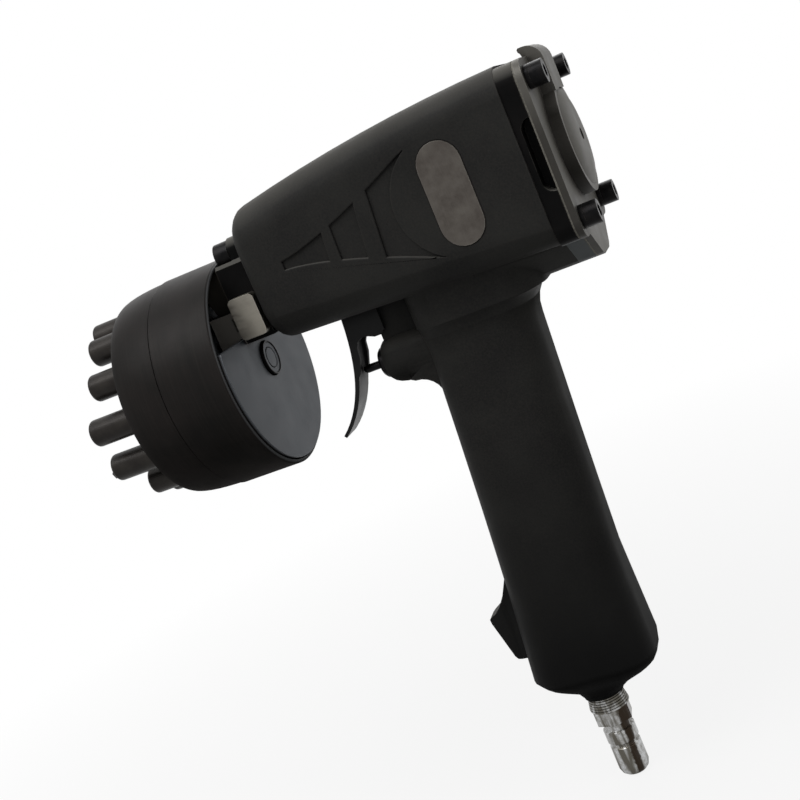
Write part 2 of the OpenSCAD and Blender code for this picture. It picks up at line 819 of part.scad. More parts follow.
// The hanging lip: a tab that rises from the cover and curls forward over the rear block
module lip() {
    outer = ring_h + 0.6;
    foot = rear_z + ring_d / 2 - 3;
    under = rear_z + screw_h / 2 + boss_r + 1;
    top = under + 2.6;
    curl = 6;
    plate(-lip_w / 2, lip_w / 2)
        polygon(concat(
            [[x_cover - 0.2, foot], [x_cover + outer, foot]],
            [for (i = [0:6]) let (a = 90 * i / 6)
                [x_cover + outer - curl * (1 - cos(a)), top - curl * (1 - sin(a))]],
            [[x_gasket + 0.2, top], [x_gasket - 0.3, top - 0.5], [x_gasket - 0.2, top - 1.4],
                [x_gasket + 0.3, top - 2], [x_gasket + 0.6, under - 0.6], [x_gasket + 0.6, foot]]
        ));
}

module rear_cover() {
    color("#6d6e6f")
        difference() {
            union() {
                slab(x_gasket, x_cover)
                    polygon(rear_outline());
                translate([0, 0, rear_z])
                    bar(x_cover - 0.2, x_ring, ring_d);
                lip();
            }
            translate([0, 0, rear_z])
                bar(x_cover - 0.5, x_ring + 8, cap_seat_d + 2 * seat_gap);
            corners(screw_w, screw_h)
                bar(x_gasket - 1, x_cover + 8, m5_d + 2 * seat_gap);
        }
}

module end_cap() {
    steps = 8;
    reach = cap_seat_d / 2;
    color("#a8a8a6")
        translate([0, 0, rear_z])
            turned(concat(
                [[bleed_d / 2, x_cover - 0.5], [reach, x_cover - 0.5]],
                [for (i = [0:steps]) let (r = reach - (reach - bleed_d / 2) * i / steps)
                    [r, x_ring + dome_h * (1 - pow(r / reach, 5))]]
            ));
}

module rear_screws() {
    color("#2b2c2e")
        corners(screw_w, screw_h)
            translate([x_cover + m5_washer_t, 0, 0])
                cap_screw(m5_d, m5_head_d, m5_head_h,
                    m5_washer_t + cover_t + gasket_t + block_t + rear_screw_grip);
}

module spring_washers() {
    color("#3a3b3d")
        corners(screw_w, screw_h)
            difference() {
                bar(x_cover, x_cover + m5_washer_t, m5_head_d);
                bar(x_cover - 1, x_cover + m5_washer_t + 1, m5_d + 2 * seat_gap);
                translate([x_cover - 1, 0, -0.5])
                    cube([m5_washer_t + 2, m5_head_d, 1]);
            }
}

// The bracket: a flange on the nose, the block, the striker guide and the arm that carries the axle
module nose_bracket() {
    block_front = x_rim + 1.6;
    arm_top = -guide_d / 2 + 3;
    flange_half = bracket_screw_w / 2 + 4.5;
    color("#17181a")
        difference() {
            union() {
                slab(x_flange, x_nose)
                    polygon(rounded(-flange_half, flange_half, -bracket_bottom,
                        bracket_screw_z + m6_head_d / 2 + 0.6, 1, 5));
                slab(block_front, x_nose)
                    polygon([[-bracket_half, -bracket_bottom], [bracket_half, -bracket_bottom],
                        [bracket_half, bracket_top - bracket_chamfer],
                        [bracket_half - bracket_chamfer, bracket_top],
                        [-bracket_half + bracket_chamfer, bracket_top],
                        [-bracket_half, bracket_top - bracket_chamfer]]);
                intersection() {
                    translate([0, 0, drum_z])
                        bar(arm_front - 1, block_front + 2, 2 * inside_r);
                    union() {
                        bar(guide_front, block_front + 1, guide_d);
                        slab(arm_front, x_disc - disc_t - stop_gap)
                            polygon([[-arm_half, drum_z - arm_drop], [arm_half, drum_z - arm_drop],
                                [arm_half, arm_top], [-arm_half, arm_top]]);
                        slab(arm_front, block_front + 1)
                            polygon([[-arm_half, drum_z + disc_cut + stop_gap],
                                [arm_half, drum_z + disc_cut + stop_gap],
                                [arm_half, arm_top], [-arm_half, arm_top]]);
                    }
                }
            }
            bar(arm_front - 5, x_nose + 1, striker_tip_d + 2 * free_gap);
            translate([0, 0, drum_z])
                bar(arm_front - 1, x_disc, axle_thread_d + 2 * seat_gap);
            translate([0, 0, drum_z + detent_r])
                bar(arm_front - 1, detent_rear, ball_d + 2 * run_gap + 0.1);
            at_bracket_screws()
                bracket_screw_hole();
            for (s = [-1, 1])
                translate([index_x, 0, index_z + s * index_h / 4])
                    rotate([90, 0, 0])
                        cylinder(d = m3_d + 2 * seat_gap, h = bracket_half + 1);
        }
}

module bracket_screw_hole() {
    bar(x_flange - 1, x_nose + 1, m6_d + 2 * seat_gap);
    bar(x_rim - 2, x_flange, m6_head_d + 2 * free_gap);
}

module bracket_screws() {
    color("#1f2022")
        at_bracket_screws()
            translate([x_flange, 0, 0])
                rotate([0, 180, 0])
                    cap_screw(m6_d, m6_head_d, m6_head_h, flange_t + bracket_screw_grip);
}

// The bright steel index block on the left side of the bracket
module index_block() {
    color("#b9b7b2")
        difference() {
            plate(-bracket_half - index_t, -bracket_half)
                polygon(rounded(index_x - index_len / 2, index_x + index_len / 2,
                    index_z - index_h / 2, index_z + index_h / 2, index_r, index_r, 4));
            for (s = [-1, 1])
                translate([index_x, -bracket_half + 1, index_z + s * index_h / 4])
                    rotate([90, 0, 0])
                        cylinder(d = m3_d + 2 * seat_gap, h = index_t - 1);
        }
}

module index_screws() {
    color("#3a3b3d")
        for (s = [-1, 1])
            translate([index_x, -bracket_half + index_screw_len, index_z + s * index_h / 4])
                rotate([90, 0, 0])
                    cylinder(d = m3_d, h = index_screw_len + index_t - 2.5);
}

module back_disc() {
    color("#55585c")
        difference() {
            translate([0, 0, drum_z])
                bar(x_disc - disc_t, x_disc, 2 * disc_r);
            translate([x_disc - disc_t - 1, -disc_r - 1, drum_z + disc_cut])
                cube([disc_t + 2, 2 * disc_r + 2, disc_r]);
            translate([0, 0, drum_z])
                bar(x_disc - disc_t - 1, x_disc + 1, disc_hole_d);
        }
}

module drum_axle() {
    seat = x_face + recess_depth;
    color("#8f9194")
        translate([0, 0, drum_z])
            turned([[0, seat - axle_head_t - stop_gap], [axle_head_d / 2 - 1, seat - axle_head_t - stop_gap],
                [axle_head_d / 2, seat - axle_head_t - stop_gap + 1], [axle_head_d / 2, seat - stop_gap],
                [axle_d / 2, seat - stop_gap], [axle_d / 2, arm_front], [axle_thread_d / 2, arm_front],
                [axle_thread_d / 2, x_disc - 0.4], [0, x_disc - 0.4]]);
}

module axle_nut() {
    color("#4b4d50")
        translate([0, 0, drum_z])
            turned([[axle_thread_d / 2 + seat_gap, x_disc - disc_t - stop_gap],
                [axle_nut_d / 2, x_disc - disc_t - stop_gap],
                [axle_nut_d / 2, x_disc - 0.5], [axle_nut_d / 2 - 0.5, x_disc],
                [axle_thread_d / 2 + 0.6, x_disc], [axle_thread_d / 2 + seat_gap, x_disc - 0.6]]);
}

module trigger_pin() {
    color("#8f9194")
        translate([pivot_x, 0, pivot_z])
            rotate([90, 0, 0])
                cylinder(d = pin_d, h = pin_len, center = true);
}

// Valve: bush, stem with its head, return spring and rear plug, all on one axis along X

module valve_bush() {
    color("#33343a")
        translate([0, 0, valve_z])
            turned([[stem_d / 2 + run_gap, valve_bush_front], [valve_bush_d / 2 - 1, valve_bush_front],
                [valve_bush_d / 2, valve_bush_front + 1], [valve_bush_d / 2, valve_plug_front],
                [stem_head_d / 2 + free_gap, valve_plug_front], [stem_head_d / 2 + free_gap, valve_chamber],
                [stem_d / 2 + run_gap, valve_chamber]]);
}

module valve_plug() {
    color("#8f9194")
        translate([0, 0, valve_z])
            turned([[stem_d / 2 + free_gap, valve_plug_front], [valve_bush_d / 2, valve_plug_front],
                [valve_bush_d / 2, valve_rear], [stem_d / 2 + free_gap, valve_rear]]);
}

module valve_seal() {
    ring_r = seal_wire / 2;
    color("#202020")
        translate([valve_chamber + ring_r, 0, valve_z])
            rotate([0, 90, 0])
                rotate_extrude()
                    translate([stem_d / 2 + run_gap + ring_r + 0.1, 0])
                        circle(r = ring_r, $fn = 24);
}

module valve_stem() {
    tip_r = stem_d / 2;
    color("#c9cacb")
        translate([0, 0, valve_z])
            turned(concat(
                [for (i = [0:4]) let (a = 90 * i / 4) [tip_r * sin(a), stem_reach + tip_r * (1 - cos(a))]],
                [[tip_r, stem_head_x], [stem_head_d / 2, stem_head_x],
                    [stem_head_d / 2, stem_head_x + stem_head_t], [tip_r, stem_head_x + stem_head_t],
                    [tip_r, stem_head_x + stem_head_t + 5], [0, stem_head_x + stem_head_t + 5]]
            ));
}

module stem_seal() {
    color("#202020")
        translate([0, 0, valve_z])
            turned([[stem_d / 2 + seat_gap, stem_head_x + stem_head_t],
                [stem_head_d / 2 - 0.6, stem_head_x + stem_head_t],
                [stem_head_d / 2 - 0.6, stem_head_x + stem_head_t + 1],
                [stem_d / 2 + seat_gap, stem_head_x + stem_head_t + 1]]);
}

module valve_spring() {
    color("#b5b7b9")
        translate([0, 0, valve_z])
            coil_spring(stem_head_x + stem_head_t + 1.2, valve_plug_front - 0.2, stem_head_d / 2 - 1, 0.8, 4);
}

// The air nipple: thread, hexagon, neck, locking groove and rounded coupling nose

module air_nipple() {
    hex_top = inlet_end_z - 6.2;
    nose_top_z = hex_top - hex_h - neck_len;
    nose_end = nose_top_z - plug_len;
    groove = nose_top_z - 7;
    color("#d4d6d8")
        translate([inlet_x, 0, 0])
            difference() {
                union() {
                    translate([0, 0, hex_top])
                        cylinder(d = thread_d, h = inlet_end_z - hex_top + thread_len - 0.5);
                    translate([0, 0, hex_top - hex_h])
                        rotate([0, 0, -2])
                            cylinder(d = hex_af / cos(30), h = hex_h, $fn = 6);
                    rotate_extrude()
                        polygon([[0, hex_top - hex_h + 0.1], [plug_d / 2 - 0.9, hex_top - hex_h + 0.1],
                            [plug_d / 2 - 0.9, nose_top_z], [plug_d / 2, nose_top_z - 0.6],
                            [plug_d / 2, groove + 1.2], [plug_d / 2 - 0.9, groove + 0.6],
                            [plug_d / 2 - 0.9, groove - 0.4], [plug_d / 2 - 0.2, groove - 1],
                            [plug_d / 2 - 0.2, nose_end + plug_bevel],
                            [plug_d / 2 - 0.9, nose_end + 1], [plug_d / 2 - 2, nose_end], [0, nose_end]]);
                }
                translate([0, 0, nose_end - 1])
                    cylinder(d = nipple_bore, h = inlet_end_z + thread_len - nose_end + 2);
            }
}

// Springs of the hammer and the detent
module hammer_spring() {
    color("#b5b7b9")
        coil_spring(x_liner + buffer_t + 0.2, hammer_front + hammer_nose_len - 0.3,
            liner_bore / 2 - 1.5, 1.8, 7);
}

module detent_spring() {
    color("#b5b7b9")
        translate([0, 0, drum_z + detent_r])
            coil_spring(ball_x + ball_d / 2 - 0.2, detent_rear - 0.1, ball_d / 2 - 1, 0.6, 3);
}

// Drum group

module drum() {
    color("#232427")
        difference() {
            translate([0, 0, drum_z])
                turned(concat(
                    [[bush_d / 2 + seat_gap, x_face + recess_depth],
                        [recess_d / 2, x_face + recess_depth], [recess_d / 2, x_face]],
                    [for (i = [0:4]) let (a = 80 * i / 4)
                        [face_r - face_edge * (1 - sin(a)), x_face + face_edge * (1 - cos(a))]],
                    [for (i = [1:shoulder_steps]) let (a = 90 * i / shoulder_steps)
                        [face_r + shoulder_drop * sin(a), x_face + shoulder_len * (1 - cos(a))]],
                    [[shoulder_r, x_rim - band_len - 1.2], [shoulder_r - 0.4, x_rim - band_len - 1],
                        [shoulder_r - 0.4, x_rim - band_len - 0.4], [drum_r, x_rim - band_len],
                        [drum_r, x_rim - rim_chamfer], [drum_r - rim_chamfer, x_rim], [cup_r, x_rim],
                        [cup_r, x_floor], [hub_d / 2, x_floor], [hub_d / 2, x_keeper],
                        [bush_d / 2 + seat_gap, x_keeper]]
                ));
            for (k = [0:punch_count - 1])
                at_punch(k) {
                    bar(x_face - 2, x_floor + 1, punch_d + 2 * run_gap);
                    bar(ring_x - ring_wire / 2 - seat_gap, ring_x + ring_wire / 2 + seat_gap,
                        punch_d + 2 * ring_wire + 4 * run_gap);
                }
            for (k = [0:2])
                at_keeper_screw(k)
                    bar(x_floor - keeper_screw_len - 0.5, x_floor + 1, m3_d + 2 * seat_gap);
        }
}

module at_keeper_screw(k) {
    a = 120 * k + pitch_angle / 2;
    translate([0, -sin(a) * keeper_screw_r, drum_z + cos(a) * keeper_screw_r])
        children();
}

// The keeper ring on the cup's floor: pockets for the punch collars and dimples for the detent
module punch_keeper() {
    color("#5a5c5f")
        difference() {
            translate([0, 0, drum_z])
                turned([[hub_d / 2 + seat_gap, x_floor], [cup_r - seat_gap, x_floor],
                    [cup_r - seat_gap, x_keeper], [hub_d / 2 + seat_gap, x_keeper]]);
            for (k = [0:punch_count - 1])
                at_punch(k) {
                    bar(x_floor - 1, x_pocket, collar_d + 2 * free_gap);
                    bar(x_pocket - 1, x_keeper + 1, tail_d + 2 * free_gap);
                }
            for (a = [0:pitch_angle:359])
                translate([ball_x, -sin(a) * detent_r, drum_z + cos(a) * detent_r])
                    sphere(r = ball_d / 2 + stop_gap, $fn = 48);
            for (k = [0:2])
                at_keeper_screw(k) {
                    bar(x_floor - 1, x_keeper + 1, m3_d + 2 * seat_gap);
                    bar(x_keeper - keeper_screw_sink, x_keeper + 1, m3_head_d + 0.4);
                }
        }
}

module keeper_screws() {
    color("#8f9194")
        for (k = [0:2])
            at_keeper_screw(k)
                translate([x_keeper - keeper_screw_sink, 0, 0])
                    cap_screw(m3_d, m3_head_d, 3, x_keeper - keeper_screw_sink - x_floor + keeper_screw_len);
}

module drum_bush() {
    color("#a9863f")
        translate([0, 0, drum_z])
            turned([[axle_d / 2 + run_gap, x_face + recess_depth], [bush_d / 2, x_face + recess_depth],
                [bush_d / 2, x_keeper], [axle_d / 2 + run_gap, x_keeper]]);
}

module punch_rings() {
    color("#202020")
        for (k = [0:punch_count - 1])
            at_punch(k)
                translate([ring_x, 0, 0])
                    rotate([0, 90, 0])
                        rotate_extrude($fn = 32)
                            translate([punch_d / 2 + run_gap + ring_wire / 2, 0])
                                circle(d = ring_wire, $fn = 16);
}

// Punch k, slid forward from its rear stop by its own rest value
module punch(k) {
    collar_rear = x_pocket - stop_gap - punch_rest[0];
    tail_end = x_keeper + tail_out - punch_rest[0];
    r = punch_d / 2;
    color("#3c3d3f")
        at_punch(k)
            translate([punch_rest[0] - punch_rest[k], 0, 0])
                turned(concat(
                    [[0, 0]],
                    [for (i = [0:4]) let (a = 90 * i / 4)
                        [r - punch_edge * (1 - sin(a)), punch_edge * (1 - cos(a))]],
                    [[r, collar_rear - collar_t], [collar_d / 2, collar_rear - collar_t],
                        [collar_d / 2, collar_rear], [tail_d / 2, collar_rear],
                        [tail_d / 2, tail_end - 0.6], [tail_d / 2 - 0.6, tail_end], [0, tail_end]]
                ));
}

// Moving pieces inside the frame

module hammer() {
    r = liner_bore / 2 - run_gap;
    groove = 1.6;
    color("#7d7f82")
        turned([[0, hammer_front], [hammer_nose_d / 2 - 1, hammer_front],
            [hammer_nose_d / 2, hammer_front + 1], [hammer_nose_d / 2, hammer_front + hammer_nose_len],
            [r, hammer_front + hammer_nose_len],
            [r, hammer_ring_x - hammer_ring_w], [r - groove, hammer_ring_x - hammer_ring_w],
            [r - groove, hammer_ring_x + hammer_ring_w], [r, hammer_ring_x + hammer_ring_w],
            [r, hammer_rear - 1], [r - 1, hammer_rear], [0, hammer_rear]]);
}

module hammer_rings() {
    color("#4a4034")
        turned([[liner_bore / 2 - run_gap - 1.6 + seat_gap, hammer_ring_x - hammer_ring_w + seat_gap],
            [liner_bore / 2 - run_gap, hammer_ring_x - hammer_ring_w + seat_gap],
            [liner_bore / 2 - run_gap, hammer_ring_x + hammer_ring_w - seat_gap],
            [liner_bore / 2 - run_gap - 1.6 + seat_gap, hammer_ring_x + hammer_ring_w - seat_gap]]);
}

module striker() {
    neck = x_nose + striker_stroke + 0.5;
    color("#9a9c9e")
        turned([[0, striker_rest], [striker_tip_d / 2 - 0.6, striker_rest],
            [striker_tip_d / 2, striker_rest + 0.6], [striker_tip_d / 2, neck],
            [striker_d / 2, neck], [striker_d / 2, striker_shoulder],
            [striker_head_d / 2, striker_shoulder], [striker_head_d / 2, striker_rear - 1],
            [striker_head_d / 2 - 1, striker_rear], [0, striker_rear]]);
}

// The trigger: a bent sheet with a curved blade in front and two cheeks that reach up to the pin
module trigger() {
    blade = [blade_top, blade_belly, blade_tip];
    cheek_end = 0.55;
    color("#4d4f52")
        difference() {
            union() {
                plate(-trigger_w / 2, trigger_w / 2)
                    polygon(concat(
                        [for (i = [0:blade_steps]) curve(blade, i / blade_steps)],
                        [for (i = [blade_steps:-1:0]) let (t = i / blade_steps)
                            curve(blade, t) + trigger_t * (1 - 0.35 * t * t) * curve_normal(blade, t)]
                    ));
                for (s = [-1, 1])
                    plate(s > 0 ? trigger_w / 2 - trigger_t : -trigger_w / 2,
                        s > 0 ? trigger_w / 2 : -trigger_w / 2 + trigger_t)
                        polygon(concat(
                            [for (i = [0:blade_steps]) curve(blade, cheek_end * i / blade_steps)],
                            cheek_edge,
                            corner(pivot_x, pivot_z, 4.2, 0, 6)
                        ));
            }
            translate([pivot_x, 0, pivot_z])
                rotate([90, 0, 0])
                    cylinder(d = pin_d + 2 * run_gap, h = trigger_w + 2, center = true);
        }
}

module detent_ball() {
    color("#c9cacb")
        translate([ball_x, 0, drum_z + detent_r])
            sphere(d = ball_d, $fn = 48);
}

housing();
cylinder_liner();
front_buffer();
striker_bush();
rear_block();
rear_gasket();
rear_cover();
end_cap();
rear_screws();
spring_washers();
label_plate();
nose_bracket();
bracket_screws();
index_block();
index_screws();
back_disc();
drum_axle();
axle_nut();
trigger_pin();
valve_bush();
valve_plug();
valve_seal();
air_nipple();
hammer_spring();
valve_spring();
detent_spring();
drum();
punch_keeper();
keeper_screws();
drum_bush();
punch_rings();
punch(0);  // punch_01
punch(1);  // punch_02
punch(2);  // punch_03
punch(3);  // punch_04
punch(4);  // punch_05
punch(5);  // punch_06
punch(6);  // punch_07
punch(7);  // punch_08
punch(8);  // punch_09
punch(9);  // punch_10
punch(10);  // punch_11
punch(11);  // punch_12
hammer();
hammer_rings();
striker();
trigger();
valve_stem();
stem_seal();
detent_ball();
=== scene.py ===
# %% [markdown]
# A pistol-grip air tool that stamps numbers. A hammer inside the barrel strikes one of the twelve
# punches in the round drum at the nose. The solid model already has every piece in its true place
# and size, so this lesson dresses those pieces: it softens their edges, gives each its finish, adds
# the raised figures and the thread, and lights the whole on a pale floor.

import json
import math

import bmesh
import bpy
from mathutils import Matrix, Vector

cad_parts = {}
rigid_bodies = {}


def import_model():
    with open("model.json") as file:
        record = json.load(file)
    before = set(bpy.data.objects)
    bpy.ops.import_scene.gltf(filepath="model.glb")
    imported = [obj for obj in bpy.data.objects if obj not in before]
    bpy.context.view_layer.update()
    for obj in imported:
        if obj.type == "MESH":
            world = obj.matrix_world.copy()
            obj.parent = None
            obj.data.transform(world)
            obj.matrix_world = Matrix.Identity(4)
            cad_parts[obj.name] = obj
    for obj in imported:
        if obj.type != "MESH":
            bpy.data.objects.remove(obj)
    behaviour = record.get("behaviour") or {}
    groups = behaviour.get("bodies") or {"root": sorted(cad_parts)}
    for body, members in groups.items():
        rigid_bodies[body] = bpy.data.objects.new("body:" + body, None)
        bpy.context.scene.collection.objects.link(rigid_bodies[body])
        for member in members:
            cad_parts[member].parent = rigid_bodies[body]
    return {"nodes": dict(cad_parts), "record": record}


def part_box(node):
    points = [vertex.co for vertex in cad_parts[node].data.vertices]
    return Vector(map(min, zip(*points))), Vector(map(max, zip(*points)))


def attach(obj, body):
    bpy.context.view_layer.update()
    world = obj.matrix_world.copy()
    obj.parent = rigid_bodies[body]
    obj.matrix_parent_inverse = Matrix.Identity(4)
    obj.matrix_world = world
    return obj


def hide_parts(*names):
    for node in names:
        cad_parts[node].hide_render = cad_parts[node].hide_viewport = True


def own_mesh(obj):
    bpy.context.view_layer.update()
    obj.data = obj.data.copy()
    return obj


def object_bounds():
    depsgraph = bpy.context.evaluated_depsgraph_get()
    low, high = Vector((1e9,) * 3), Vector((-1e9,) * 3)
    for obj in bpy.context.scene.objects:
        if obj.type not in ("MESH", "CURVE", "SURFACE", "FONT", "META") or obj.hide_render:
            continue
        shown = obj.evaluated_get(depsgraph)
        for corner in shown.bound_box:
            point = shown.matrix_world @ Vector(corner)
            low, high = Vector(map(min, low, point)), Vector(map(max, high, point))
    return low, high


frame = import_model()
cad_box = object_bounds()
nodes = frame["nodes"]
bodies = frame["record"]["behaviour"]["bodies"]
body_of = {name: body for body, names in bodies.items() for name in names}
slot_of = {part["node"]: part["material_slot"] for part in frame["record"]["subparts"]}
in_scene = bpy.context.scene.collection.objects
MM = 0.001
print("solids:", len(nodes), "box in mm:", [round(v / MM, 1) for v in cad_box[1] - cad_box[0]])

# %% [markdown]
# The picture was taken from behind and to the left of the tool, with the camera rolled so that the
# barrel climbs to the right. A camera can be aimed with a Track To constraint, but that keeps it
# level. Here its three axes are written down as a matrix instead, so the roll is part of the aim.

# %% Camera
view_right = Vector((0.8892, 0.2434, -0.3874))
view_up = Vector((0.31991, 0.27452, 0.90681))
view_ahead = Vector((-0.32704, 0.93027, -0.16625))
view_place = Vector((0.277585, -0.480655, 0.020312))
camera_data = bpy.data.cameras.new("photo_view")
camera_data.lens = 60
camera_data.sensor_width = 36
camera_data.clip_start = 0.01
camera = bpy.data.objects.new("photo_view", camera_data)
aim = Matrix((view_right, view_up, -view_ahead)).transposed()
camera.matrix_world = Matrix.LocRotScale(view_place, aim.to_quaternion(), None)
in_scene.link(camera)
bpy.context.scene.camera = camera
bpy.context.scene.view_settings.view_transform = "Standard"
print("camera is", round((view_place - (cad_box[0] + cad_box[1]) / 2).length, 3), "m from the middle")

# %% [markdown]
# Every finish below is a small tree of nodes. Colours are easiest to read as the hex codes of a
# paint program, but Blender works with linear light, so one function converts them. A second one
# feeds a node's inputs: a plain value is set, a hex code is converted, and a node is linked by the
# first of its outputs that is in use. A third adds a node and feeds it, which keeps each finish down
# to a few readable lines. Patterns are sized in millimetres: a noise of scale s has grains of about
# 1/s metres.


# %% Helpers for the finishes
def linear(code):
    """Turns an sRGB hex code into linear red, green, blue and full alpha."""
    parts = [int(code[i:i + 2], 16) / 255 for i in (1, 3, 5)]
    return [c / 12.92 if c <= 0.04045 else ((c + 0.055) / 1.055) ** 2.4 for c in parts] + [1.0]


def feed(node, inputs):
    """Sets or links a node's inputs."""
    for socket, value in inputs.items():
        if isinstance(value, bpy.types.Node):
            value = next(output for output in value.outputs if output.enabled)
        if isinstance(value, bpy.types.NodeSocket):
            node.id_data.links.new(value, node.inputs[socket])
        else:
            node.inputs[socket].default_value = linear(value) if isinstance(value, str) else value


def add(tree, kind, inputs=None, **settings):
    """Adds one node, sets its properties and feeds its inputs."""
    made = tree.nodes.new(kind)
    for name, value in settings.items():
        setattr(made, name, value)
    feed(made, inputs or {})
    return made


def grain(size_mm):
    """The scale of a noise whose grains are about this many millimetres wide."""
    return 1 / (size_mm * MM)


def start_finish(name):
    """An empty finish: the material, its tree, its main shader and the piece's own coordinates."""
    finish = bpy.data.materials.new(name)
    finish.use_nodes = True
    tree = finish.node_tree
    place = add(tree, "ShaderNodeTexCoord").outputs["Object"]
    return finish, tree, tree.nodes["Principled BSDF"], place


FACTOR, FIRST, SECOND = 0, 6, 7   # inputs of a Mix node that mixes colours
finishes = {}
print("helpers ready")

# %% [markdown]
# Metal that is handled wears bright along its edges. The Bevel node gives the surface direction as
# if the edges were rounded. Where that differs from the true direction there is an edge, so their
# dot product makes a mask, broken up by a noise so that the wear looks uneven.


# %% Edge wear mask
def worn_edges(tree, place, width_mm, break_mm, most):
    """A value that is 0 on open faces and rises to the given most along edges of about this width."""
    rounded = add(tree, "ShaderNodeBevel", {"Radius": width_mm * MM}, samples=4)
    true = add(tree, "ShaderNodeNewGeometry").outputs["Normal"]
    alike = add(tree, "ShaderNodeVectorMath", {0: rounded, 1: true}, operation="DOT_PRODUCT")
    edge = add(tree, "ShaderNodeMapRange", {"Value": alike, "From Min": 0.995, "From Max": 0.86})
    patchy = add(tree, "ShaderNodeTexNoise", {"Vector": place, "Scale": grain(break_mm), "Detail": 4.0})
    share = add(tree, "ShaderNodeMapRange", {"Value": patchy, "From Min": 0.35, "From Max": 0.65})
    worn = add(tree, "ShaderNodeMath", {0: edge, 1: share}, operation="MULTIPLY")
    return add(tree, "ShaderNodeMath", {0: worn, 1: most}, operation="MULTIPLY")


print("edge wear ready")

# %% [markdown]
# The housing is moulded from glass-filled nylon in a spark-eroded tool. That leaves a fine, even grain, so the
# black looks soft grey where light grazes it and never mirrors. Dust greys the barrel, edges are rubbed a
# little paler, and painted shade blackens the hollows, which the Ambient Occlusion node finds. The grain of
# about 0.2 mm is too fine for this picture, so it is drawn at 0.7 mm.

# %% Finish: moulded nylon
finish, tree, shader, place = start_finish("moulded_glass_filled_nylon")
fine = add(tree, "ShaderNodeTexNoise", {"Vector": place, "Scale": grain(0.7), "Detail": 3.0, "Roughness": 0.6})
broad = add(tree, "ShaderNodeTexNoise", {"Vector": place, "Scale": grain(28), "Detail": 4.0, "Roughness": 0.55})
cloud = add(tree, "ShaderNodeMapRange", {"Value": broad, "From Min": 0.36, "From Max": 0.64})
tone = add(tree, "ShaderNodeMix", {FACTOR: cloud, FIRST: "#1b1b1b", SECOND: "#232322"}, data_type="RGBA")
speck = add(tree, "ShaderNodeMapRange", {"Value": fine, "From Min": 0.35, "From Max": 0.75,
                                         "To Min": 0.0, "To Max": 0.4})
dusty = add(tree, "ShaderNodeMix", {FACTOR: speck, FIRST: tone, SECOND: "#312f2c"}, data_type="RGBA")
worn = worn_edges(tree, place, 1.2, 6, most=0.35)
rubbed = add(tree, "ShaderNodeMix", {FACTOR: worn, FIRST: dusty, SECOND: "#3f3d3a"}, data_type="RGBA")
# Painted shade: the hollows that the Ambient Occlusion node finds are painted near black.
shade = add(tree, "ShaderNodeAmbientOcclusion", {"Distance": 14 * MM}, samples=8)
open_to_sky = add(tree, "ShaderNodeMapRange", {"Value": shade.outputs["AO"], "From Min": 0.35, "From Max": 0.8})
shaded_hollows = add(tree, "ShaderNodeMix", {FACTOR: open_to_sky, FIRST: "#0b0b0b", SECOND: rubbed}, data_type="RGBA")
print("nylon before use:", len(tree.nodes), "nodes")

# %% [markdown]
# The nylon changes from place to place. The grip is painted blacker towards its bottom as painted shade, and
# its underside stays dull. What faces up is painted paler, with dust and painted light from above. The height
# of a point and the direction of its surface tell these places apart, so each is a ramp over one of them.

# %% Nylon with painted shade and light from above
# Painted shade: the grip is painted darker towards its bottom, fading out between these heights.
grip_shade_full, grip_shade_end = -190 * MM, -88 * MM   # heights between which the hand's black fades out
grip_top = -45 * MM
height = add(tree, "ShaderNodeSeparateXYZ", {"Vector": place}).outputs["Z"]
grip_shade_share = add(tree, "ShaderNodeMapRange", {"Value": height, "From Min": grip_shade_full, "From Max": grip_shade_end})
grip_shaded = add(tree, "ShaderNodeMix", {FACTOR: grip_shade_share, FIRST: "#080808", SECOND: shaded_hollows}, data_type="RGBA")
normal = add(tree, "ShaderNodeNewGeometry").outputs["Normal"]
upward = add(tree, "ShaderNodeSeparateXYZ", {"Vector": normal}).outputs["Z"]
# Dust and painted light from above: what faces up is painted paler.
dust_and_top_light = add(tree, "ShaderNodeMapRange", {"Value": upward, "From Min": 0.4, "From Max": 1.0,
                                           "To Min": 0.0, "To Max": 0.3})
dusted_and_top_lit = add(tree, "ShaderNodeMix", {FACTOR: dust_and_top_light, FIRST: grip_shaded, SECOND: "#6f6d68"}, data_type="RGBA")
gloss = add(tree, "ShaderNodeMapRange", {"Value": broad, "From Min": 0.3, "From Max": 0.7,
                                         "To Min": 0.66, "To Max": 0.54})
dull = add(tree, "ShaderNodeMapRange", {"Value": upward, "From Min": 0.1, "From Max": -0.5,
                                        "To Min": 0.0, "To Max": 0.4})
on_grip = add(tree, "ShaderNodeMath", {0: height, 1: grip_top}, operation="LESS_THAN")
dulled = add(tree, "ShaderNodeMath", {0: dull, 1: on_grip}, operation="MULTIPLY")
rough = add(tree, "ShaderNodeMath", {0: gloss, 1: dulled}, operation="ADD")
eased = add(tree, "ShaderNodeBevel", {"Radius": 0.6 * MM}, samples=4)
relief = add(tree, "ShaderNodeBump", {"Strength": 0.35, "Distance": 0.06 * MM, "Height": fine, "Normal": eased})
feed(shader, {"Base Color": dusted_and_top_lit, "Roughness": rough, "Normal": relief, "IOR": 1.53,
              "Specular IOR Level": 0.06})
finishes["housing_black"] = finish
print(finish.name, len(tree.nodes), "nodes")
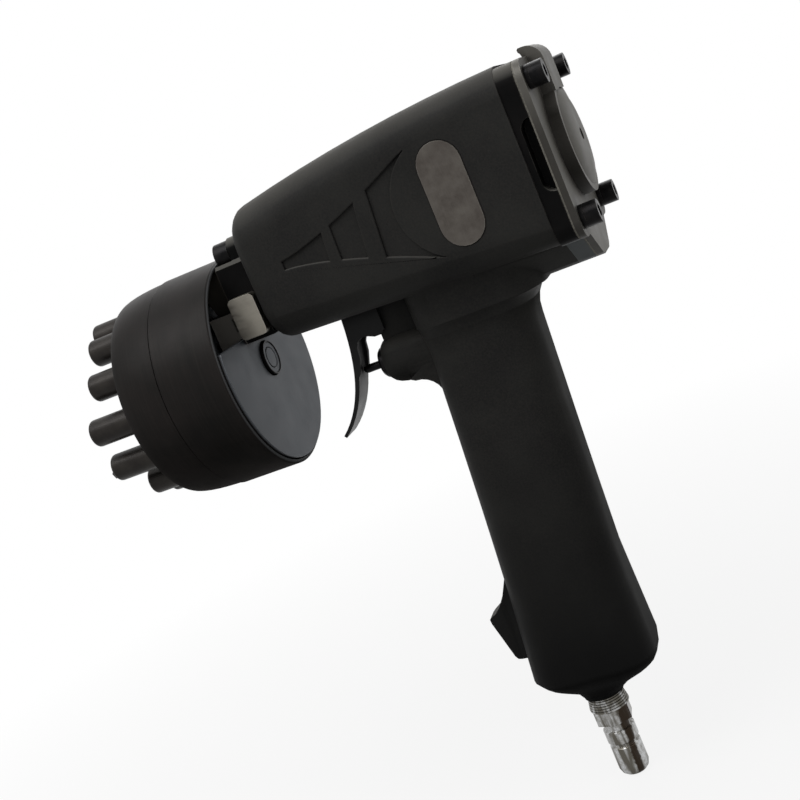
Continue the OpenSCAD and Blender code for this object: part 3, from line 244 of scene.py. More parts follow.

# %% [markdown]
# The rear block and the nose bracket are steel with a stoved black enamel. It is darker and a little smoother
# than the nylon, with a faint orange-peel ripple from spraying and bright metal showing only where an edge has
# been knocked. Its upper faces are painted paler, with dust and painted light from above.

# %% Finish: stoved enamel
finish, tree, shader, place = start_finish("stoved_black_enamel")
peel = add(tree, "ShaderNodeTexNoise", {"Vector": place, "Scale": grain(1.6), "Detail": 2.0})
smear = add(tree, "ShaderNodeTexNoise", {"Vector": place, "Scale": grain(14), "Detail": 5.0})
haze = add(tree, "ShaderNodeMapRange", {"Value": smear, "From Min": 0.38, "From Max": 0.66})
tone = add(tree, "ShaderNodeMix", {FACTOR: haze, FIRST: "#090909", SECOND: "#100f0f"}, data_type="RGBA")
worn = worn_edges(tree, place, 0.5, 3, most=0.5)
edged = add(tree, "ShaderNodeMix", {FACTOR: worn, FIRST: tone, SECOND: "#4d4a46"}, data_type="RGBA")
normal = add(tree, "ShaderNodeNewGeometry").outputs["Normal"]
upward = add(tree, "ShaderNodeSeparateXYZ", {"Vector": normal}).outputs["Z"]
# Dust and painted light from above: upper faces are painted paler.
dust_and_top_light = add(tree, "ShaderNodeMapRange", {"Value": upward, "From Min": 0.3, "From Max": 1.0,
                                           "To Min": 0.0, "To Max": 0.65})
dusted_and_top_lit = add(tree, "ShaderNodeMix", {FACTOR: dust_and_top_light, FIRST: edged, SECOND: "#76746f"}, data_type="RGBA")
gloss = add(tree, "ShaderNodeMapRange", {"Value": smear, "From Min": 0.3, "From Max": 0.7,
                                         "To Min": 0.36, "To Max": 0.52})
relief = add(tree, "ShaderNodeBump", {"Strength": 0.12, "Distance": 0.05 * MM, "Height": peel})
print("enamel before use:", len(tree.nodes), "nodes")

# %% [markdown]
# The underside of the keel, the block's low rear foot, is painted grey as painted light thrown up from the
# floor. Inside the drum the spray was thin, and the bracket's arm there was masked, so it is bare grey steel. A
# point's place along the tool and its height tell these parts from the rest.

# %% Enamel with painted light from below, and masked
drum_mouth = 66 * MM   # in front of this the drum covers the bracket
arm_top = -9.5 * MM
keel_top = -29 * MM
spot = add(tree, "ShaderNodeSeparateXYZ", {"Vector": place})
# Painted light: down-facing faces of the keel are painted grey, for light thrown up from the floor.
floor_light_share = add(tree, "ShaderNodeMapRange", {"Value": upward, "From Min": -0.15, "From Max": -0.5,
                                         "To Min": 0.0, "To Max": 0.6})
on_keel = add(tree, "ShaderNodeMath", {0: spot.outputs["Z"], 1: keel_top}, operation="LESS_THAN")
floor_light_on_keel = add(tree, "ShaderNodeMath", {0: floor_light_share, 1: on_keel}, operation="MULTIPLY")
rubbed = add(tree, "ShaderNodeMix", {FACTOR: floor_light_on_keel, FIRST: dusted_and_top_lit, SECOND: "#6b6f71"}, data_type="RGBA")
inside = add(tree, "ShaderNodeMath", {0: spot.outputs["X"], 1: drum_mouth}, operation="LESS_THAN")
thin = add(tree, "ShaderNodeMix", {FACTOR: inside, FIRST: rubbed, SECOND: "#272522"}, data_type="RGBA")
below = add(tree, "ShaderNodeMath", {0: spot.outputs["Z"], 1: arm_top}, operation="LESS_THAN")
masked = add(tree, "ShaderNodeMath", {0: inside, 1: below}, operation="MULTIPLY")
bared = add(tree, "ShaderNodeMix", {FACTOR: masked, FIRST: thin, SECOND: "#6a6762"}, data_type="RGBA")
feed(shader, {"Base Color": bared, "Roughness": gloss, "Normal": relief, "Specular IOR Level": 0.03})
finishes["block_black"] = finish
finishes["bracket_black"] = finish
print(finish.name, len(tree.nodes), "nodes")

# %% [markdown]
# The rear cover and its domed cap are cast aluminium, blasted with grit and left bare. Blasting breaks the
# surface into tiny pits, so the metal is a soft grey with no clear reflection. Oil and dust settle in patches
# and darken it. It is also darker where the Ambient Occlusion node finds hollows, and its sides are painted
# darker towards the bottom as painted shade. The pits of about 0.15 mm are drawn at 0.5 mm.

# %% Finish: blasted aluminium
finish, tree, shader, place = start_finish("blasted_cast_aluminium")
# Painted shade: the sides are painted darker towards the bottom, between these heights.
side_shade_top, side_shade_full = 32 * MM, 8 * MM   # heights between which the crept oil grows to its darkest
pits = add(tree, "ShaderNodeTexNoise", {"Vector": place, "Scale": grain(0.5), "Detail": 3.0})
oil = add(tree, "ShaderNodeTexNoise", {"Vector": place, "Scale": grain(9), "Detail": 6.0, "Roughness": 0.6})
stain = add(tree, "ShaderNodeMapRange", {"Value": oil, "From Min": 0.35, "From Max": 0.68})
tone = add(tree, "ShaderNodeMix", {FACTOR: stain, FIRST: "#4d4b47", SECOND: "#5b5954"}, data_type="RGBA")
# Darker where the Ambient Occlusion node finds hollows.
shade = add(tree, "ShaderNodeAmbientOcclusion", {"Distance": 9 * MM}, samples=8)
open_to_sky = add(tree, "ShaderNodeMapRange", {"Value": shade.outputs["AO"], "From Min": 0.5, "From Max": 1.0})
darker_in_hollows = add(tree, "ShaderNodeMix", {FACTOR: open_to_sky, FIRST: "#2b2925", SECOND: tone}, data_type="RGBA")
worn = worn_edges(tree, place, 0.5, 4, most=0.5)
edged = add(tree, "ShaderNodeMix", {FACTOR: worn, FIRST: darker_in_hollows, SECOND: "#7d7b76"}, data_type="RGBA")
normal = add(tree, "ShaderNodeNewGeometry").outputs["Normal"]
# Painted shade on the cover's sides, darkest low down.
rearward = add(tree, "ShaderNodeSeparateXYZ", {"Vector": normal}).outputs["X"]
beside = add(tree, "ShaderNodeMapRange", {"Value": rearward, "From Min": 0.5, "From Max": 0.2})
height = add(tree, "ShaderNodeSeparateXYZ", {"Vector": place}).outputs["Z"]
lower_side_shade = add(tree, "ShaderNodeMapRange", {"Value": height, "From Min": side_shade_top, "From Max": side_shade_full,
                                         "To Min": 0.0, "To Max": 0.85})
side_shade = add(tree, "ShaderNodeMath", {0: beside, 1: lower_side_shade}, operation="MULTIPLY")
side_shaded = add(tree, "ShaderNodeMix", {FACTOR: side_shade, FIRST: edged, SECOND: "#24221f"}, data_type="RGBA")
gloss = add(tree, "ShaderNodeMapRange", {"Value": oil, "From Min": 0.3, "From Max": 0.7,
                                         "To Min": 0.42, "To Max": 0.6})
relief = add(tree, "ShaderNodeBump", {"Strength": 0.3, "Distance": 0.05 * MM, "Height": pits})
feed(shader, {"Base Color": side_shaded, "Roughness": gloss, "Normal": relief, "Metallic": 0.4,
              "Specular IOR Level": 0.2})
finishes["cover_grey"] = finish
print(finish.name, len(tree.nodes), "nodes")

# %% [markdown]
# The cap screws are alloy steel with a black oxide skin, dipped in oil. The oxide is thin, so the
# steel under it still gives a dull metallic sheen, and it rubs off first where a key or another
# tool has touched the rim of the head.

# %% Finish: black oxide screws
finish, tree, shader, place = start_finish("black_oxide_alloy_steel")
oily = add(tree, "ShaderNodeTexNoise", {"Vector": place, "Scale": grain(3), "Detail": 4.0})
film = add(tree, "ShaderNodeMapRange", {"Value": oily, "From Min": 0.35, "From Max": 0.65})
tone = add(tree, "ShaderNodeMix", {FACTOR: film, FIRST: "#0e0e0f", SECOND: "#181717"}, data_type="RGBA")
worn = worn_edges(tree, place, 0.35, 2, most=0.3)
edged = add(tree, "ShaderNodeMix", {FACTOR: worn, FIRST: tone, SECOND: "#4f4c48"}, data_type="RGBA")
gloss = add(tree, "ShaderNodeMapRange", {"Value": oily, "From Min": 0.3, "From Max": 0.7,
                                         "To Min": 0.28, "To Max": 0.48})
feed(shader, {"Base Color": edged, "Roughness": gloss, "Metallic": 0.7, "Specular IOR Level": 0.1})
finishes["screw_steel"] = finish
print(finish.name, len(tree.nodes), "nodes")

# %% [markdown]
# The plate on the left flank is bare rolled aluminium, dulled by age. Rolling leaves faint lines
# along its length, and handling leaves scuffs and a warm grime. The lines come from a noise that a
# Mapping node stretches along one axis, which is cheaper than drawing each scratch.

# %% Finish: bare label plate
finish, tree, shader, place = start_finish("rolled_aluminium_plate")
stretch = add(tree, "ShaderNodeMapping", {"Vector": place, "Scale": (1.0, 1.0, 0.06)})
lines = add(tree, "ShaderNodeTexNoise", {"Vector": stretch, "Scale": grain(0.45), "Detail": 3.0})
grime = add(tree, "ShaderNodeTexNoise", {"Vector": place, "Scale": grain(7), "Detail": 6.0, "Roughness": 0.65})
dirt = add(tree, "ShaderNodeMapRange", {"Value": grime, "From Min": 0.33, "From Max": 0.66})
tone = add(tree, "ShaderNodeMix", {FACTOR: dirt, FIRST: "#423d39", SECOND: "#55514c"}, data_type="RGBA")
worn = worn_edges(tree, place, 0.6, 5, most=1.0)
edged = add(tree, "ShaderNodeMix", {FACTOR: worn, FIRST: tone, SECOND: "#6b6863"}, data_type="RGBA")
gloss = add(tree, "ShaderNodeMapRange", {"Value": lines, "From Min": 0.3, "From Max": 0.7,
                                         "To Min": 0.4, "To Max": 0.62})
relief = add(tree, "ShaderNodeBump", {"Strength": 0.15, "Distance": 0.03 * MM, "Height": lines})
feed(shader, {"Base Color": edged, "Roughness": gloss, "Normal": relief, "Metallic": 0.5,
              "Specular IOR Level": 0.2})
finishes["label_metal"] = finish
print(finish.name, len(tree.nodes), "nodes")

# %% [markdown]
# The index block, the valve stem and the detent ball are bare ground steel. A grinding wheel leaves
# straight, fine scratches across the face, and a warm film of oil dulls them. The scratches of
# about 0.05 mm are drawn at 0.3 mm.

# %% Finish: ground steel
finish, tree, shader, place = start_finish("ground_steel")
stretch = add(tree, "ShaderNodeMapping", {"Vector": place, "Scale": (0.05, 1.0, 1.0)})
scratch = add(tree, "ShaderNodeTexNoise", {"Vector": stretch, "Scale": grain(0.3), "Detail": 2.0})
film = add(tree, "ShaderNodeTexNoise", {"Vector": place, "Scale": grain(6), "Detail": 4.0})
warm = add(tree, "ShaderNodeMapRange", {"Value": film, "From Min": 0.34, "From Max": 0.66})
tone = add(tree, "ShaderNodeMix", {FACTOR: warm, FIRST: "#77736b", SECOND: "#858178"}, data_type="RGBA")
gloss = add(tree, "ShaderNodeMapRange", {"Value": scratch, "From Min": 0.3, "From Max": 0.7,
                                         "To Min": 0.28, "To Max": 0.5})
relief = add(tree, "ShaderNodeBump", {"Strength": 0.2, "Distance": 0.02 * MM, "Height": scratch})
feed(shader, {"Base Color": tone, "Roughness": gloss, "Normal": relief, "Metallic": 1.0})
finishes["bright_steel"] = finish
print(finish.name, len(tree.nodes), "nodes")

# %% [markdown]
# The drum is turned from steel and blackened in hot salts. The lathe leaves fine rings round the axis, which
# Object coordinates can follow: a noise stretched far across the drum changes only along its length, and so
# draws rings. Hands rub the blacking to a warm grey in patches. A thin band along the rear rim is painted
# brighter, a painted glint. What faces down keeps its oil and is dull. The feed marks of about 0.1 mm are drawn
# at 0.6 mm.

# %% Finish: blackened turned steel
finish, tree, shader, place = start_finish("blackened_turned_steel")
drum_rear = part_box("drum")[1].x
# Painted highlight: a thin band along the rear rim is painted brighter, a painted glint.
glint_start, glint_full = drum_rear - 0.5 * MM, drum_rear - 0.2 * MM   # where the rim's wear sets in
stretch = add(tree, "ShaderNodeMapping", {"Vector": place, "Scale": (1.0, 0.02, 0.02)})
rings = add(tree, "ShaderNodeTexNoise", {"Vector": stretch, "Scale": grain(0.6), "Detail": 3.0})
hands = add(tree, "ShaderNodeTexNoise", {"Vector": place, "Scale": grain(20), "Detail": 6.0, "Roughness": 0.6})
rubbed = add(tree, "ShaderNodeMapRange", {"Value": hands, "From Min": 0.36, "From Max": 0.7})
tone = add(tree, "ShaderNodeMix", {FACTOR: rubbed, FIRST: "#171615", SECOND: "#1f1c1b"}, data_type="RGBA")
lit = add(tree, "ShaderNodeMapRange", {"Value": rings, "From Min": 0.45, "From Max": 0.75,
                                       "To Min": 0.0, "To Max": 0.2})
ringed = add(tree, "ShaderNodeMix", {FACTOR: lit, FIRST: tone, SECOND: "#2c2926"}, data_type="RGBA")
along = add(tree, "ShaderNodeSeparateXYZ", {"Vector": place}).outputs["X"]
# Painted glint along the rear rim.
rim = add(tree, "ShaderNodeMapRange", {"Value": along, "From Min": glint_start, "From Max": glint_full,
                                       "To Min": 0.0, "To Max": 0.35})
edged = add(tree, "ShaderNodeMix", {FACTOR: rim, FIRST: ringed, SECOND: "#66686a"}, data_type="RGBA")
gloss = add(tree, "ShaderNodeMapRange", {"Value": hands, "From Min": 0.3, "From Max": 0.7,
                                         "To Min": 0.48, "To Max": 0.36})
normal = add(tree, "ShaderNodeNewGeometry").outputs["Normal"]
upward = add(tree, "ShaderNodeSeparateXYZ", {"Vector": normal}).outputs["Z"]
dull = add(tree, "ShaderNodeMapRange", {"Value": upward, "From Min": 0.2, "From Max": -0.5,
                                        "To Min": 0.0, "To Max": 0.5})
rough = add(tree, "ShaderNodeMath", {0: gloss, 1: dull}, operation="ADD")
relief = add(tree, "ShaderNodeBump", {"Strength": 0.12, "Distance": 0.02 * MM, "Height": rings})
feed(shader, {"Base Color": edged, "Roughness": rough, "Normal": relief, "Metallic": 0.1,
              "Specular IOR Level": 0.06})
finishes["drum_steel"] = finish
print(finish.name, len(tree.nodes), "nodes")

# %% [markdown]
# The disc behind the drum, its nut and the punch keeper are cold-rolled steel with a thin blue-grey phosphate.
# Phosphate is a layer of tiny crystals: it scatters light, holds oil and shows up as a soft mottle of cool
# greys. Painted shade blackens the corners, round the nut and along the rim. The crystals are far too fine for
# this picture, so they are drawn at 0.9 mm.

# %% Finish: phosphated disc
finish, tree, shader, place = start_finish("phosphated_cold_rolled_steel")
crystal = add(tree, "ShaderNodeTexVoronoi", {"Vector": place, "Scale": grain(0.9), "Randomness": 1.0})
mottle = add(tree, "ShaderNodeTexNoise", {"Vector": place, "Scale": grain(11), "Detail": 6.0, "Roughness": 0.6})
cool = add(tree, "ShaderNodeMapRange", {"Value": mottle, "From Min": 0.34, "From Max": 0.66})
tone = add(tree, "ShaderNodeMix", {FACTOR: cool, FIRST: "#4a4d51", SECOND: "#56595d"}, data_type="RGBA")
# Painted shade: the corners, the ring round the nut and the rim are painted near black where the Ambient
# Occlusion node finds hollows.
shade = add(tree, "ShaderNodeAmbientOcclusion", {"Distance": 2.5 * MM}, samples=8)
open_to_sky = add(tree, "ShaderNodeMapRange", {"Value": shade.outputs["AO"], "From Min": 0.6, "From Max": 0.92})
hollows_darkened = add(tree, "ShaderNodeMix", {FACTOR: open_to_sky, FIRST: "#171615", SECOND: tone}, data_type="RGBA")
worn = worn_edges(tree, place, 0.4, 3, most=0.3)
edged = add(tree, "ShaderNodeMix", {FACTOR: worn, FIRST: hollows_darkened, SECOND: "#7c7e81"}, data_type="RGBA")
gloss = add(tree, "ShaderNodeMapRange", {"Value": mottle, "From Min": 0.3, "From Max": 0.7,
                                         "To Min": 0.4, "To Max": 0.56})
relief = add(tree, "ShaderNodeBump", {"Strength": 0.1, "Distance": 0.02 * MM, "Height": crystal})
feed(shader, {"Base Color": edged, "Roughness": gloss, "Normal": relief, "Metallic": 0.5,
              "Specular IOR Level": 0.2})
finishes["disc_steel"] = finish
print(finish.name, len(tree.nodes), "nodes")

# %% [markdown]
# The punches are hardened tool steel, oil-quenched, which leaves a dark brown-grey scale. They slide
# in the drum all day, so faint lines run along them and their rims are rubbed to bare metal.

# %% Finish: oil-quenched punches
finish, tree, shader, place = start_finish("oil_quenched_tool_steel")
stretch = add(tree, "ShaderNodeMapping", {"Vector": place, "Scale": (0.05, 1.0, 1.0)})
slide = add(tree, "ShaderNodeTexNoise", {"Vector": stretch, "Scale": grain(0.8), "Detail": 3.0})
scale_film = add(tree, "ShaderNodeTexNoise", {"Vector": place, "Scale": grain(5), "Detail": 5.0})
brown = add(tree, "ShaderNodeMapRange", {"Value": scale_film, "From Min": 0.34, "From Max": 0.66})
tone = add(tree, "ShaderNodeMix", {FACTOR: brown, FIRST: "#211e1c", SECOND: "#2b2825"}, data_type="RGBA")
worn = worn_edges(tree, place, 0.5, 2.5, most=0.6)
edged = add(tree, "ShaderNodeMix", {FACTOR: worn, FIRST: tone, SECOND: "#8b867e"}, data_type="RGBA")
gloss = add(tree, "ShaderNodeMapRange", {"Value": slide, "From Min": 0.3, "From Max": 0.7,
                                         "To Min": 0.3, "To Max": 0.46})
relief = add(tree, "ShaderNodeBump", {"Strength": 0.12, "Distance": 0.02 * MM, "Height": slide})
feed(shader, {"Base Color": edged, "Roughness": gloss, "Normal": relief, "Metallic": 0.25,
              "Specular IOR Level": 0.15})
finishes["punch_steel"] = finish
print(finish.name, len(tree.nodes), "nodes")

# %% [markdown]
# The trigger is bent from steel sheet, blacked and lacquered. Lacquer is smooth, so it stays black
# when seen straight on and turns pale where it is seen at a low angle, as on the hollow rear of the
# blade. That comes from the shader's own Fresnel effect, and needs only a low roughness. The finger
# has dulled it in patches, and dust lies in its hollow top, so the roughness rises there.

# %% Finish: lacquered trigger sheet
finish, tree, shader, place = start_finish("lacquered_steel_sheet")
touch = add(tree, "ShaderNodeTexNoise", {"Vector": place, "Scale": grain(8), "Detail": 5.0})
film = add(tree, "ShaderNodeMapRange", {"Value": touch, "From Min": 0.35, "From Max": 0.66})
tone = add(tree, "ShaderNodeMix", {FACTOR: film, FIRST: "#0f0f10", SECOND: "#191919"}, data_type="RGBA")
worn = worn_edges(tree, place, 0.4, 3, most=0.4)
edged = add(tree, "ShaderNodeMix", {FACTOR: worn, FIRST: tone, SECOND: "#4b4946"}, data_type="RGBA")
gloss = add(tree, "ShaderNodeMapRange", {"Value": touch, "From Min": 0.3, "From Max": 0.7,
                                         "To Min": 0.26, "To Max": 0.4})
shade = add(tree, "ShaderNodeAmbientOcclusion", {"Distance": 12 * MM}, samples=8)
dull = add(tree, "ShaderNodeMapRange", {"Value": shade.outputs["AO"], "From Min": 0.85, "From Max": 0.5,
                                        "To Min": 0.0, "To Max": 0.5})
rough = add(tree, "ShaderNodeMath", {0: gloss, 1: dull}, operation="ADD")
feed(shader, {"Base Color": edged, "Roughness": rough, "Specular IOR Level": 0.1})
finishes["trigger_steel"] = finish
print(finish.name, len(tree.nodes), "nodes")

# %% [markdown]
# The air nipple is turned steel with a bright nickel plate. It is the only shiny piece on the tool. Dark
# streaks along it are painted reflections, drawn as a noise stretched along the nipple. Its grooves are
# darkened brown by oil and by painted shade, where little open sky is seen, which the Ambient Occlusion node
# measures.

# %% Finish: nickel plate
finish, tree, shader, place = start_finish("nickel_plated_steel")
# Painted reflection: dark streaks along the nipple.
stretch = add(tree, "ShaderNodeMapping", {"Vector": place, "Scale": (1.0, 1.0, 0.12)})
streak_noise = add(tree, "ShaderNodeTexNoise", {"Vector": stretch, "Scale": grain(3.2), "Detail": 3.0,
                                         "Roughness": 0.55})
reflection_streak = add(tree, "ShaderNodeMapRange", {"Value": streak_noise, "From Min": 0.42, "From Max": 0.58})
wear = add(tree, "ShaderNodeTexNoise", {"Vector": place, "Scale": grain(1.8), "Detail": 5.0, "Roughness": 0.6})
tint = add(tree, "ShaderNodeMapRange", {"Value": wear, "From Min": 0.36, "From Max": 0.64})
plate = add(tree, "ShaderNodeMix", {FACTOR: tint, FIRST: "#8d8c88", SECOND: "#c0c1c2"}, data_type="RGBA")
tone = add(tree, "ShaderNodeMix", {FACTOR: reflection_streak, FIRST: "#5a5750", SECOND: plate}, data_type="RGBA")
# Oil and painted shade: the grooves are painted brown where the Ambient Occlusion node finds hollows.
shade = add(tree, "ShaderNodeAmbientOcclusion", {"Distance": 2 * MM}, samples=8)
shaded_hollows = add(tree, "ShaderNodeMapRange", {"Value": shade.outputs["AO"], "From Min": 0.25, "From Max": 0.65})
hollows_darkened = add(tree, "ShaderNodeMix", {FACTOR: shaded_hollows, FIRST: "#26221d", SECOND: tone}, data_type="RGBA")
print("plate with its streaks:", len(tree.nodes), "nodes")

# %% [markdown]
# A dark brown band down the nipple's rear left side is a painted reflection. A radial gradient round the
# nipple's axis gives each point's bearing as a share of a full turn. The band is a range of bearings that
# starts at the hexagon, and drifts round and narrows as it goes down. Close under the grip no cloth ever wipes
# the nipple, so the plate there is dull.

# %% Nickel plate with the painted reflection band
low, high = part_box("air_nipple")
nipple_x = (low.x + high.x) / 2
hexagon_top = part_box("housing")[0].z - 6.2 * MM
# Painted reflection: a dark brown band at these heights and bearings.
band_low = hexagon_top - 20 * MM
band_start, band_end = 0.5 - 34 / 360, 0.5 - 56 / 360   # 34 and 56 degrees off the axis, to the left
narrow_top, narrow_low = hexagon_top - 5 * MM, hexagon_top - 12 * MM
centred = add(tree, "ShaderNodeMapping", {"Vector": place, "Location": (-nipple_x, 0, 0)})
bearing = add(tree, "ShaderNodeTexGradient", {"Vector": centred}, gradient_type="RADIAL").outputs["Fac"]
height = add(tree, "ShaderNodeSeparateXYZ", {"Vector": place}).outputs["Z"]
drift = add(tree, "ShaderNodeMapRange", {"Value": height, "From Min": hexagon_top, "From Max": band_low,
                                         "To Min": band_start, "To Max": band_end})
wavy = add(tree, "ShaderNodeMapRange", {"Value": wear, "To Min": -0.03, "To Max": 0.03})
middle = add(tree, "ShaderNodeMath", {0: drift, 1: wavy}, operation="ADD")
offset = add(tree, "ShaderNodeMath", {0: bearing, 1: middle}, operation="SUBTRACT")
distance = add(tree, "ShaderNodeMath", {0: offset}, operation="ABSOLUTE")
width = add(tree, "ShaderNodeMapRange", {"Value": height, "From Min": narrow_top, "From Max": narrow_low,
                                         "To Min": 0.085, "To Max": 0.045})
share = add(tree, "ShaderNodeMath", {0: distance, 1: width}, operation="DIVIDE")
# Painted reflection band, strongest in its middle.
reflection_band = add(tree, "ShaderNodeMapRange", {"Value": share, "From Min": 1.0, "From Max": 0.72,
                                       "To Min": 0.0, "To Max": 0.95})
under = add(tree, "ShaderNodeMath", {0: height, 1: hexagon_top}, operation="LESS_THAN")
band_below_hexagon = add(tree, "ShaderNodeMath", {0: reflection_band, 1: under}, operation="MULTIPLY")
band_painted = add(tree, "ShaderNodeMix", {FACTOR: band_below_hexagon, FIRST: hollows_darkened, SECOND: "#2c241d"}, data_type="RGBA")
gloss = add(tree, "ShaderNodeMapRange", {"Value": wear, "From Min": 0.3, "From Max": 0.7,
                                         "To Min": 0.16, "To Max": 0.32})
roof = add(tree, "ShaderNodeAmbientOcclusion", {"Distance": 15 * MM}, samples=8)
dull = add(tree, "ShaderNodeMapRange", {"Value": roof.outputs["AO"], "From Min": 0.9, "From Max": 0.6,
                                        "To Min": 0.0, "To Max": 0.4})
rough = add(tree, "ShaderNodeMath", {0: gloss, 1: dull}, operation="ADD")
feed(shader, {"Base Color": band_painted, "Roughness": rough, "Metallic": 1.0})
finishes["nipple_chrome"] = finish
print(finish.name, len(tree.nodes), "nodes")

# %% [markdown]
# The last finishes belong to pieces that lie inside or show only as a line: ground liner and springs,
# bronze bushes, rubber rings, a nylon piston ring and the fibre gasket. They differ only in colours,
# grain and gloss, so a table and a loop make them all.

# %% Finishes of the inner pieces
inner_finishes = {
    # slot: name, dark colour, light colour, metallic, least and most roughness, grain in mm
    "steel": ("turned_bright_steel", "#6f6e6c", "#8f8e8b", 1.0, 0.25, 0.42, 4.0),
    "bronze": ("sintered_bronze", "#7a5a2e", "#96733f", 1.0, 0.35, 0.55, 1.5),
    "rubber": ("moulded_nitrile_rubber", "#121212", "#1b1b1a", 0.0, 0.55, 0.75, 2.0),
    "ring_plastic": ("machined_brown_nylon", "#4a3f33", "#5b4e40", 0.0, 0.4, 0.55, 3.0),
    "gasket": ("pressed_fibre_sheet", "#4b4943", "#68655c", 0.0, 0.7, 0.85, 0.8),
}
for slot, (name, dark, light, metal, least, most, size) in inner_finishes.items():
    finish, tree, shader, place = start_finish(name)
    cloudy = add(tree, "ShaderNodeTexNoise", {"Vector": place, "Scale": grain(size), "Detail": 4.0})
    share = add(tree, "ShaderNodeMapRange", {"Value": cloudy, "From Min": 0.35, "From Max": 0.65})
    tone = add(tree, "ShaderNodeMix", {FACTOR: share, FIRST: dark, SECOND: light}, data_type="RGBA")
    gloss = add(tree, "ShaderNodeMapRange", {"Value": cloudy, "From Min": 0.3, "From Max": 0.7,
                                             "To Min": least, "To Max": most})
    feed(shader, {"Base Color": tone, "Roughness": gloss, "Metallic": metal})
    finishes[slot] = finish
print("slots with a finish:", len(finishes))

# %% [markdown]
# Every solid gets the finish of its own slot. The hidden ones keep their solid mesh and only change
# material, because nobody sees their edges.

# %% Finishes on the solids
for name, solid in nodes.items():
    solid.data.materials.clear()
    solid.data.materials.append(finishes[slot_of[name]])
print("solids with a finish:", len(nodes))

# %% [markdown]
# A solid arrives as loose flat triangles with knife edges, and no real part has those. One way to
# soften it is a Bevel modifier, but the triangles would make it stumble. So a copy is welded, its
# flat triangles are dissolved into whole faces, and only the edges between faces that meet at a
# clear angle are bevelled. The rest is shaded smooth, so curves lose their facets. A Weighted Normal
# modifier then lets the large faces set the shading at their borders, so that flat faces still look
# flat. Two helpers serve the new pieces further down as well: one turns a bmesh into a mesh, and one
# puts a mesh in the scene as a piece.

# %% Helpers for the pieces
weld = 0.002 * MM
flat_turn = math.radians(0.3)   # triangles that meet at less than this are one flat face


def to_data(name, mesh):
    """Turns a finished bmesh into a mesh and frees it."""
    data = bpy.data.meshes.new(name)
    mesh.to_mesh(data)
    mesh.free()
    return data


def put(name, data, slot, body, stands_for=None):
    """Puts a mesh in the scene as a piece with a slot's finish that rides on a body."""
    data.materials.clear()
    data.materials.append(finishes[slot])
    piece = bpy.data.objects.new(name, data)
    in_scene.link(piece)
    if stands_for:
        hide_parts(stands_for)
    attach(piece, body)
    return piece


def dress(name, edge_mm, slot, meet=30, segments=2, chosen=None):
    """A welded copy of a solid with its clear (or its chosen) edges rounded, which stands for it."""
    mesh = bmesh.new()
    mesh.from_mesh(nodes[name].data)
    bmesh.ops.remove_doubles(mesh, verts=mesh.verts, dist=weld)
    bmesh.ops.dissolve_limit(mesh, angle_limit=flat_turn, verts=mesh.verts, edges=mesh.edges)
    sharp = [e for e in mesh.edges if e.is_manifold and e.calc_face_angle(0) > math.radians(meet)]
    if chosen:
        sharp = chosen(mesh, sharp)
    if edge_mm:
        bmesh.ops.bevel(mesh, geom=sharp, offset=edge_mm * MM, offset_type="OFFSET", affect="EDGES",
                        segments=segments, profile=0.5, material=-1, clamp_overlap=not chosen)
    for face in mesh.faces:
        face.smooth = True
    data = to_data(name + "_dressed", mesh)
    data.set_sharp_from_angle(angle=math.radians(meet))
    piece = put(name + "_dressed", data, slot, body_of[name], stands_for=name)
    flat = piece.modifiers.new("flat_faces_stay_flat", "WEIGHTED_NORMAL")
    flat.keep_sharp = True
    return piece


print("piece helpers ready")

# %% [markdown]
# Each piece that shows is dressed with an edge that suits how it was made: larger on sawn, cast and
# bent pieces, smaller on turned and ground ones. The thin gasket keeps its edges.

# %% Dress the pieces that show
edge_sizes = {   # in mm
    "rear_block": 0.3, "rear_gasket": 0, "rear_cover": 0.3, "end_cap": 0.2, "rear_screws": 0.25,
    "spring_washers": 0.15, "label_plate": 0.2, "nose_bracket": 0.3, "bracket_screws": 0.25,
    "index_block": 0.2, "back_disc": 0.2, "axle_nut": 0.2, "drum_axle": 0.2, "drum": 0.2,
    "trigger": 0.3, "valve_bush": 0.2, "valve_stem": 0.15, "air_nipple": 0.15,
}
edge_sizes.update({name: 0.2 for name in nodes if name.startswith("punch_") and name[6:].isdigit()})
shown_slot = {**slot_of, "drum_axle": "disc_steel"}   # only the axle's phosphated end is seen
dressed = {name: dress(name, size, shown_slot[name]) for name, size in edge_sizes.items()}
print("dressed:", len(dressed), "faces:", sum(len(p.data.polygons) for p in dressed.values()))

# %% [markdown]
# On the housing only the rims of the three sunk panels in each flank are rounded. They are the edges
# that stand out from the flank, lie in the panels' part of the barrel and keep clear of the circle
# round the plate. The light then draws a dark line along their upper rims and a pale one along their
# lower rims. A bevel that ends at a sharp tip would run on along the next seam as a thin false line.
# So the rims are split into short lengths, and the lengths at such an end stay as they are.

# %% Housing with soft panel rims
rim_cuts = 9
rim_turn = math.radians(30)
tip_gap = 2.5 * MM
panel_low, panel_high = Vector((94, 22, -22)) * MM, Vector((160, 40, 30)) * MM
plate_low, plate_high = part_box("label_plate")
plate_middle = (plate_low + plate_high) / 2
plate_circle = (plate_high.z - plate_low.z) / 2 + 3.5 * MM


def on_panel_rim(edge):
    """True for an edge where a flank turns into the wall of a sunk panel."""
    middle = (edge.verts[0].co + edge.verts[1].co) / 2
    in_panels = panel_low.x < middle.x < panel_high.x and panel_low.z < middle.z < panel_high.z
    from_plate = Vector((middle.x - plate_middle.x, middle.z - plate_middle.z)).length
    return edge.is_convex and in_panels and from_plate > plate_circle and abs(middle.y) > panel_low.y


